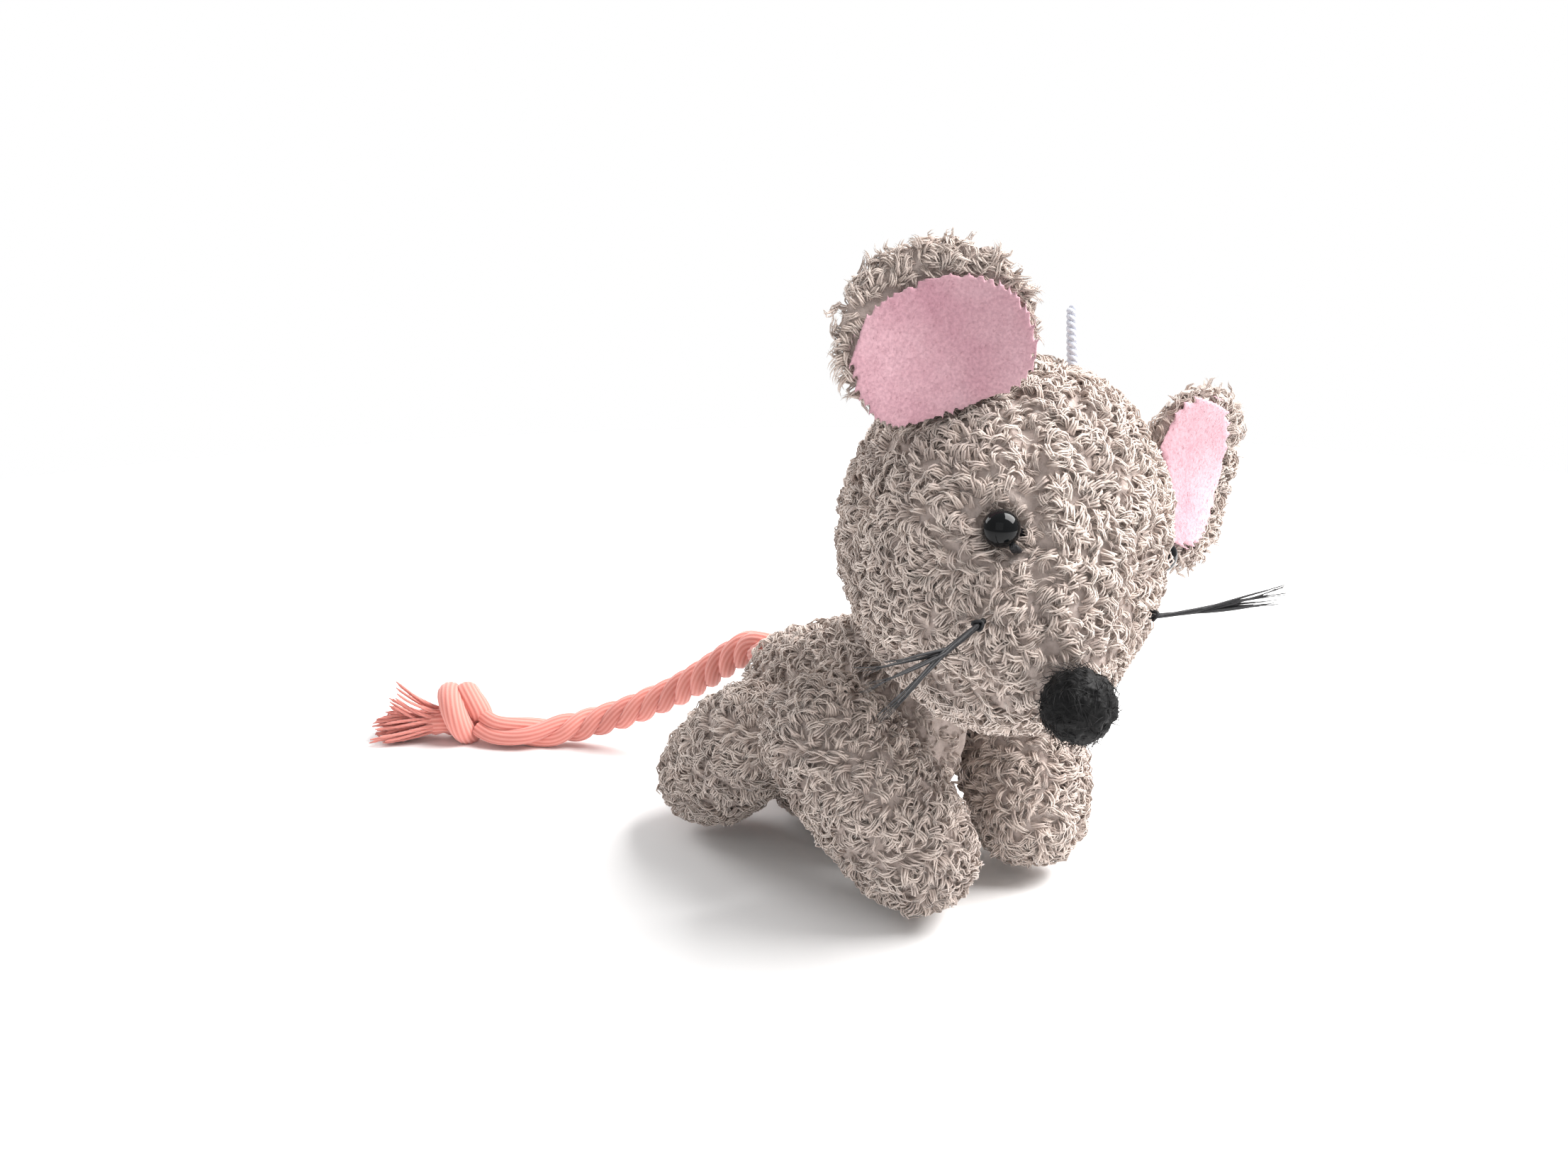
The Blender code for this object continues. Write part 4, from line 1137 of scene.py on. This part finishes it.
for side, lean in (("left", 1.0), ("right", -1.0)):
    eye = EYES[side]
    outward = (eye - HEAD_MIDDLE).normalized()
    level = outward.cross(UP).normalized()
    drill = (outward.cross(level) + level * 0.75 * lean).normalized()
    bead = bpy.data.objects.new(f"eye_bead_{side}", bead_mesh(f"eye_bead_{side}", eye, drill))
    bpy.context.scene.collection.objects.link(bead)
    settle(bead, "head", "black_bead", f"eye_{side}")
    low_end = drill if drill.z < 0 else -drill
    lines = []
    for n in range(STITCH_THREADS):
        sway = level * (n - (STITCH_THREADS - 1) / 2) * STITCHES_APART
        mouth = eye + low_end * BEAD_RADIUS * 0.96
        lines.append(stitch([
            eye + low_end * BEAD_RADIUS * 0.55, mouth + sway * 0.3,
            mouth + low_end * 0.00055 + outward * 0.0003 + sway,
            mouth + low_end * 0.0010 - outward * 0.0008 + sway,
            mouth + low_end * 0.0007 - outward * 0.0030]))
    sewn = swept(f"eye_stitch_{side}", lines, STITCH_RADIUS, black_thread, 7)
    settle(sewn, "head", "black_thread")
    print(bead.name, len(bead.data.polygons), "faces;", sewn.name, len(sewn.data.polygons), "faces")

# %% [markdown]
# ## Whiskers
# The whiskers are black sewing thread, pulled through the cheek and knotted. A bundle starts as one and
# splits in two half-way, and each thread frays into fine hairs at its tip.

# %% Whisker bundles


def ends_of(node, hub):
    """The node's points nearest to and farthest from a place."""
    found = sorted(((v.co - hub).length, i) for i, v in enumerate(nodes[node].data.vertices))
    points = nodes[node].data.vertices
    return points[found[0][1]].co.copy(), points[found[-1][1]].co.copy()


WHISKER_THREADS = 8
WHISKER_STEPS = 14
WHISKER_RADIUS, FRAY_RADIUS, RING_RADIUS = 0.00023, 0.00007, 0.00022
WHISKER_SPLIT = {"left": 0.35, "right": 1.0}      # how far a bundle's two halves part
SPLITS_AT = 0.42                                  # and where they start to, along its length
FRAYS, FRAY_LENGTH = 4, 0.0032

for side in ("left", "right"):
    split = WHISKER_SPLIT[side]
    root, tip = ends_of(f"whiskers_{side}", HEAD_MIDDLE)
    way = tip - root
    reach = way.length
    way.normalize()
    across = way.cross(UP).normalized()
    over = across.cross(way)
    hairs, threads = [], []
    for n in range(WHISKER_THREADS):
        group = -1.0 if n < WHISKER_THREADS / 2 else 1.0
        a = rng.uniform(0, 2 * pi)
        length = reach * rng.uniform(0.86, 1.0)
        off = rng.uniform(-0.5, 0.5, 2)
        line = []
        for i in range(WHISKER_STEPS + 1):
            s = i / WHISKER_STEPS
            part = max(0.0, s - SPLITS_AT) / (1 - SPLITS_AT)
            spread = 0.16 + 0.10 * s
            aside = split * part * (off[0] * 2.2 + group * 0.8)
            up = split * part * (off[1] * 2.2 + group * 1.7)
            sway = across * (cos(a + 4 * s) * spread + aside)
            rise = over * (sin(a + 4 * s) * spread + up - 0.5 * s * (1 - s))
            line.append((root + way * (length * s - 0.001) + (sway + rise) * MM, 1.0 - 0.55 * part))
        threads.append(line)
        tip_at, before = line[-1][0], line[-3][0]
        ahead = (tip_at - before).normalized()
        for _ in range(FRAYS):
            bend = Vector(rng.normal(0, 0.32, 3)) * split**0.5
            hairs.append([
                (before + (ahead + bend * 0.35) * FRAY_LENGTH * s * s + (tip_at - before) * s, 1.0 - 0.7 * s)
                for s in (0.0, 0.35, 0.7, 1.0)])
    bundle = swept(f"whisker_threads_{side}", threads, WHISKER_RADIUS, black_thread, 6)
    settle(bundle, "head", "black_thread", f"whiskers_{side}")
    frayed = swept(f"whisker_frays_{side}", hairs, FRAY_RADIUS, black_thread, 4)
    settle(frayed, "head", "black_thread")
    ring = []
    for a in np.linspace(0, 2 * pi * 2.2, 40):
        round_it = (across * cos(a) + over * sin(a) * 0.9) * 0.00062
        ring.append((root + way * (0.0004 + 0.0003 * sin(2 * a)) + round_it, 1.0))
    tied = swept(f"whisker_knot_{side}", [ring], RING_RADIUS, black_thread, 6)
    settle(tied, "head", "black_thread")
    print(bundle.name, len(bundle.data.polygons), "faces,", len(hairs), "frayed hairs")

# %% [markdown]
# ## Hanging loop
# A loop of white cord stands up behind the ears. Its two plies are twisted, so its outline is a row of
# small bumps.

# %% The loop
# The cord is white; the grey-blue in its two colours is painted shade, and the noise between them is its own
# tone.
white_cord = thread_finish("white_cord", (0.50, 0.53, 0.62), (0.76, 0.78, 0.85))
LOOP_SINK = 0.0020           # how much of the loop the pile swallows
PLY = 0.00040
PLY_LAY = 0.0017             # one full turn of a ply
LOOP_STEPS = 130
loop_points = np.array([v.co[:] for v in nodes["hang_loop"].data.vertices])
axes = np.linalg.svd(loop_points - loop_points.mean(0), full_matrices=False)[2]
loop_up = Vector(axes[0]) if axes[0][2] > 0 else -Vector(axes[0])
loop_across = Vector(axes[1])
loop_centre = Vector(loop_points.mean(0)) - loop_up * LOOP_SINK
tall = float(np.ptp((loop_points - loop_points.mean(0)) @ axes[0])) / 2
wide = float(np.ptp((loop_points - loop_points.mean(0)) @ axes[1])) / 2 - 0.0006
loop_line = spline_through([
    loop_centre + loop_across * wide * a + loop_up * tall * b
    for a, b in ((-0.3, -1.9), (-0.6, -1.0), (-0.95, -0.3), (-1.0, 0.3), (-0.6, 0.82), (0, 0.96), (0.6, 0.82),
                 (1.0, 0.3), (0.95, -0.3), (0.6, -1.0), (0.3, -1.9))], LOOP_STEPS)
plies, run = [[], []], 0.0
for i, (place, ahead, across, over) in enumerate(frames_along(loop_line)):
    run += (place - loop_line[max(0, i - 1)]).length
    for number, line in enumerate(plies):
        a = 2 * pi * run / PLY_LAY + pi * number
        line.append((place + (across * cos(a) + over * sin(a)) * PLY * 0.9, 1.0))
loop = swept("hang_loop_plies", plies, PLY, white_cord, 9)
settle(loop, "head", "white_cord", "hang_loop")
print("loop:", len(loop.data.polygons), "faces")

# %% [markdown]
# ## Inside
# The threads and the rope's end inside the body keep the frame's own solids. They get real finishes too,
# because they show when the mouse is opened.

# %% Finishes for the frame's own solids
for name, finish in (
    ("eye_thread", black_thread), ("neck_thread", joint_thread), ("foreleg_thread", joint_thread),
    ("hindleg_thread", joint_thread), ("tail_anchor", pink_cotton),
):
    nodes[name].data.materials.clear()
    nodes[name].data.materials.append(finish)
    print(name, "gets", finish.name)

# %% [markdown]
# ## The paper that it stands on
# A round sheet of pale paper catches the shadow. It ends before the lamps' light fades, so that its edge
# melts into the white of the world behind it.

# %% Floor
FLOOR_REACH = 0.40
floor_mesh = bpy.data.meshes.new("floor")
rim = [(FLOOR_REACH * cos(a), FLOOR_REACH * sin(a), 0.0) for a in np.linspace(0, 2 * pi, 96, endpoint=False)]
floor_mesh.from_pydata(rim, [], [range(len(rim))])
floor = bpy.data.objects.new("floor", floor_mesh)
bpy.context.scene.collection.objects.link(floor)
floor_finish = Finish("pale_floor", Roughness=0.85, Base_Color=(0.93, 0.93, 0.93, 1.0))
floor_mesh.materials.append(floor_finish.material)
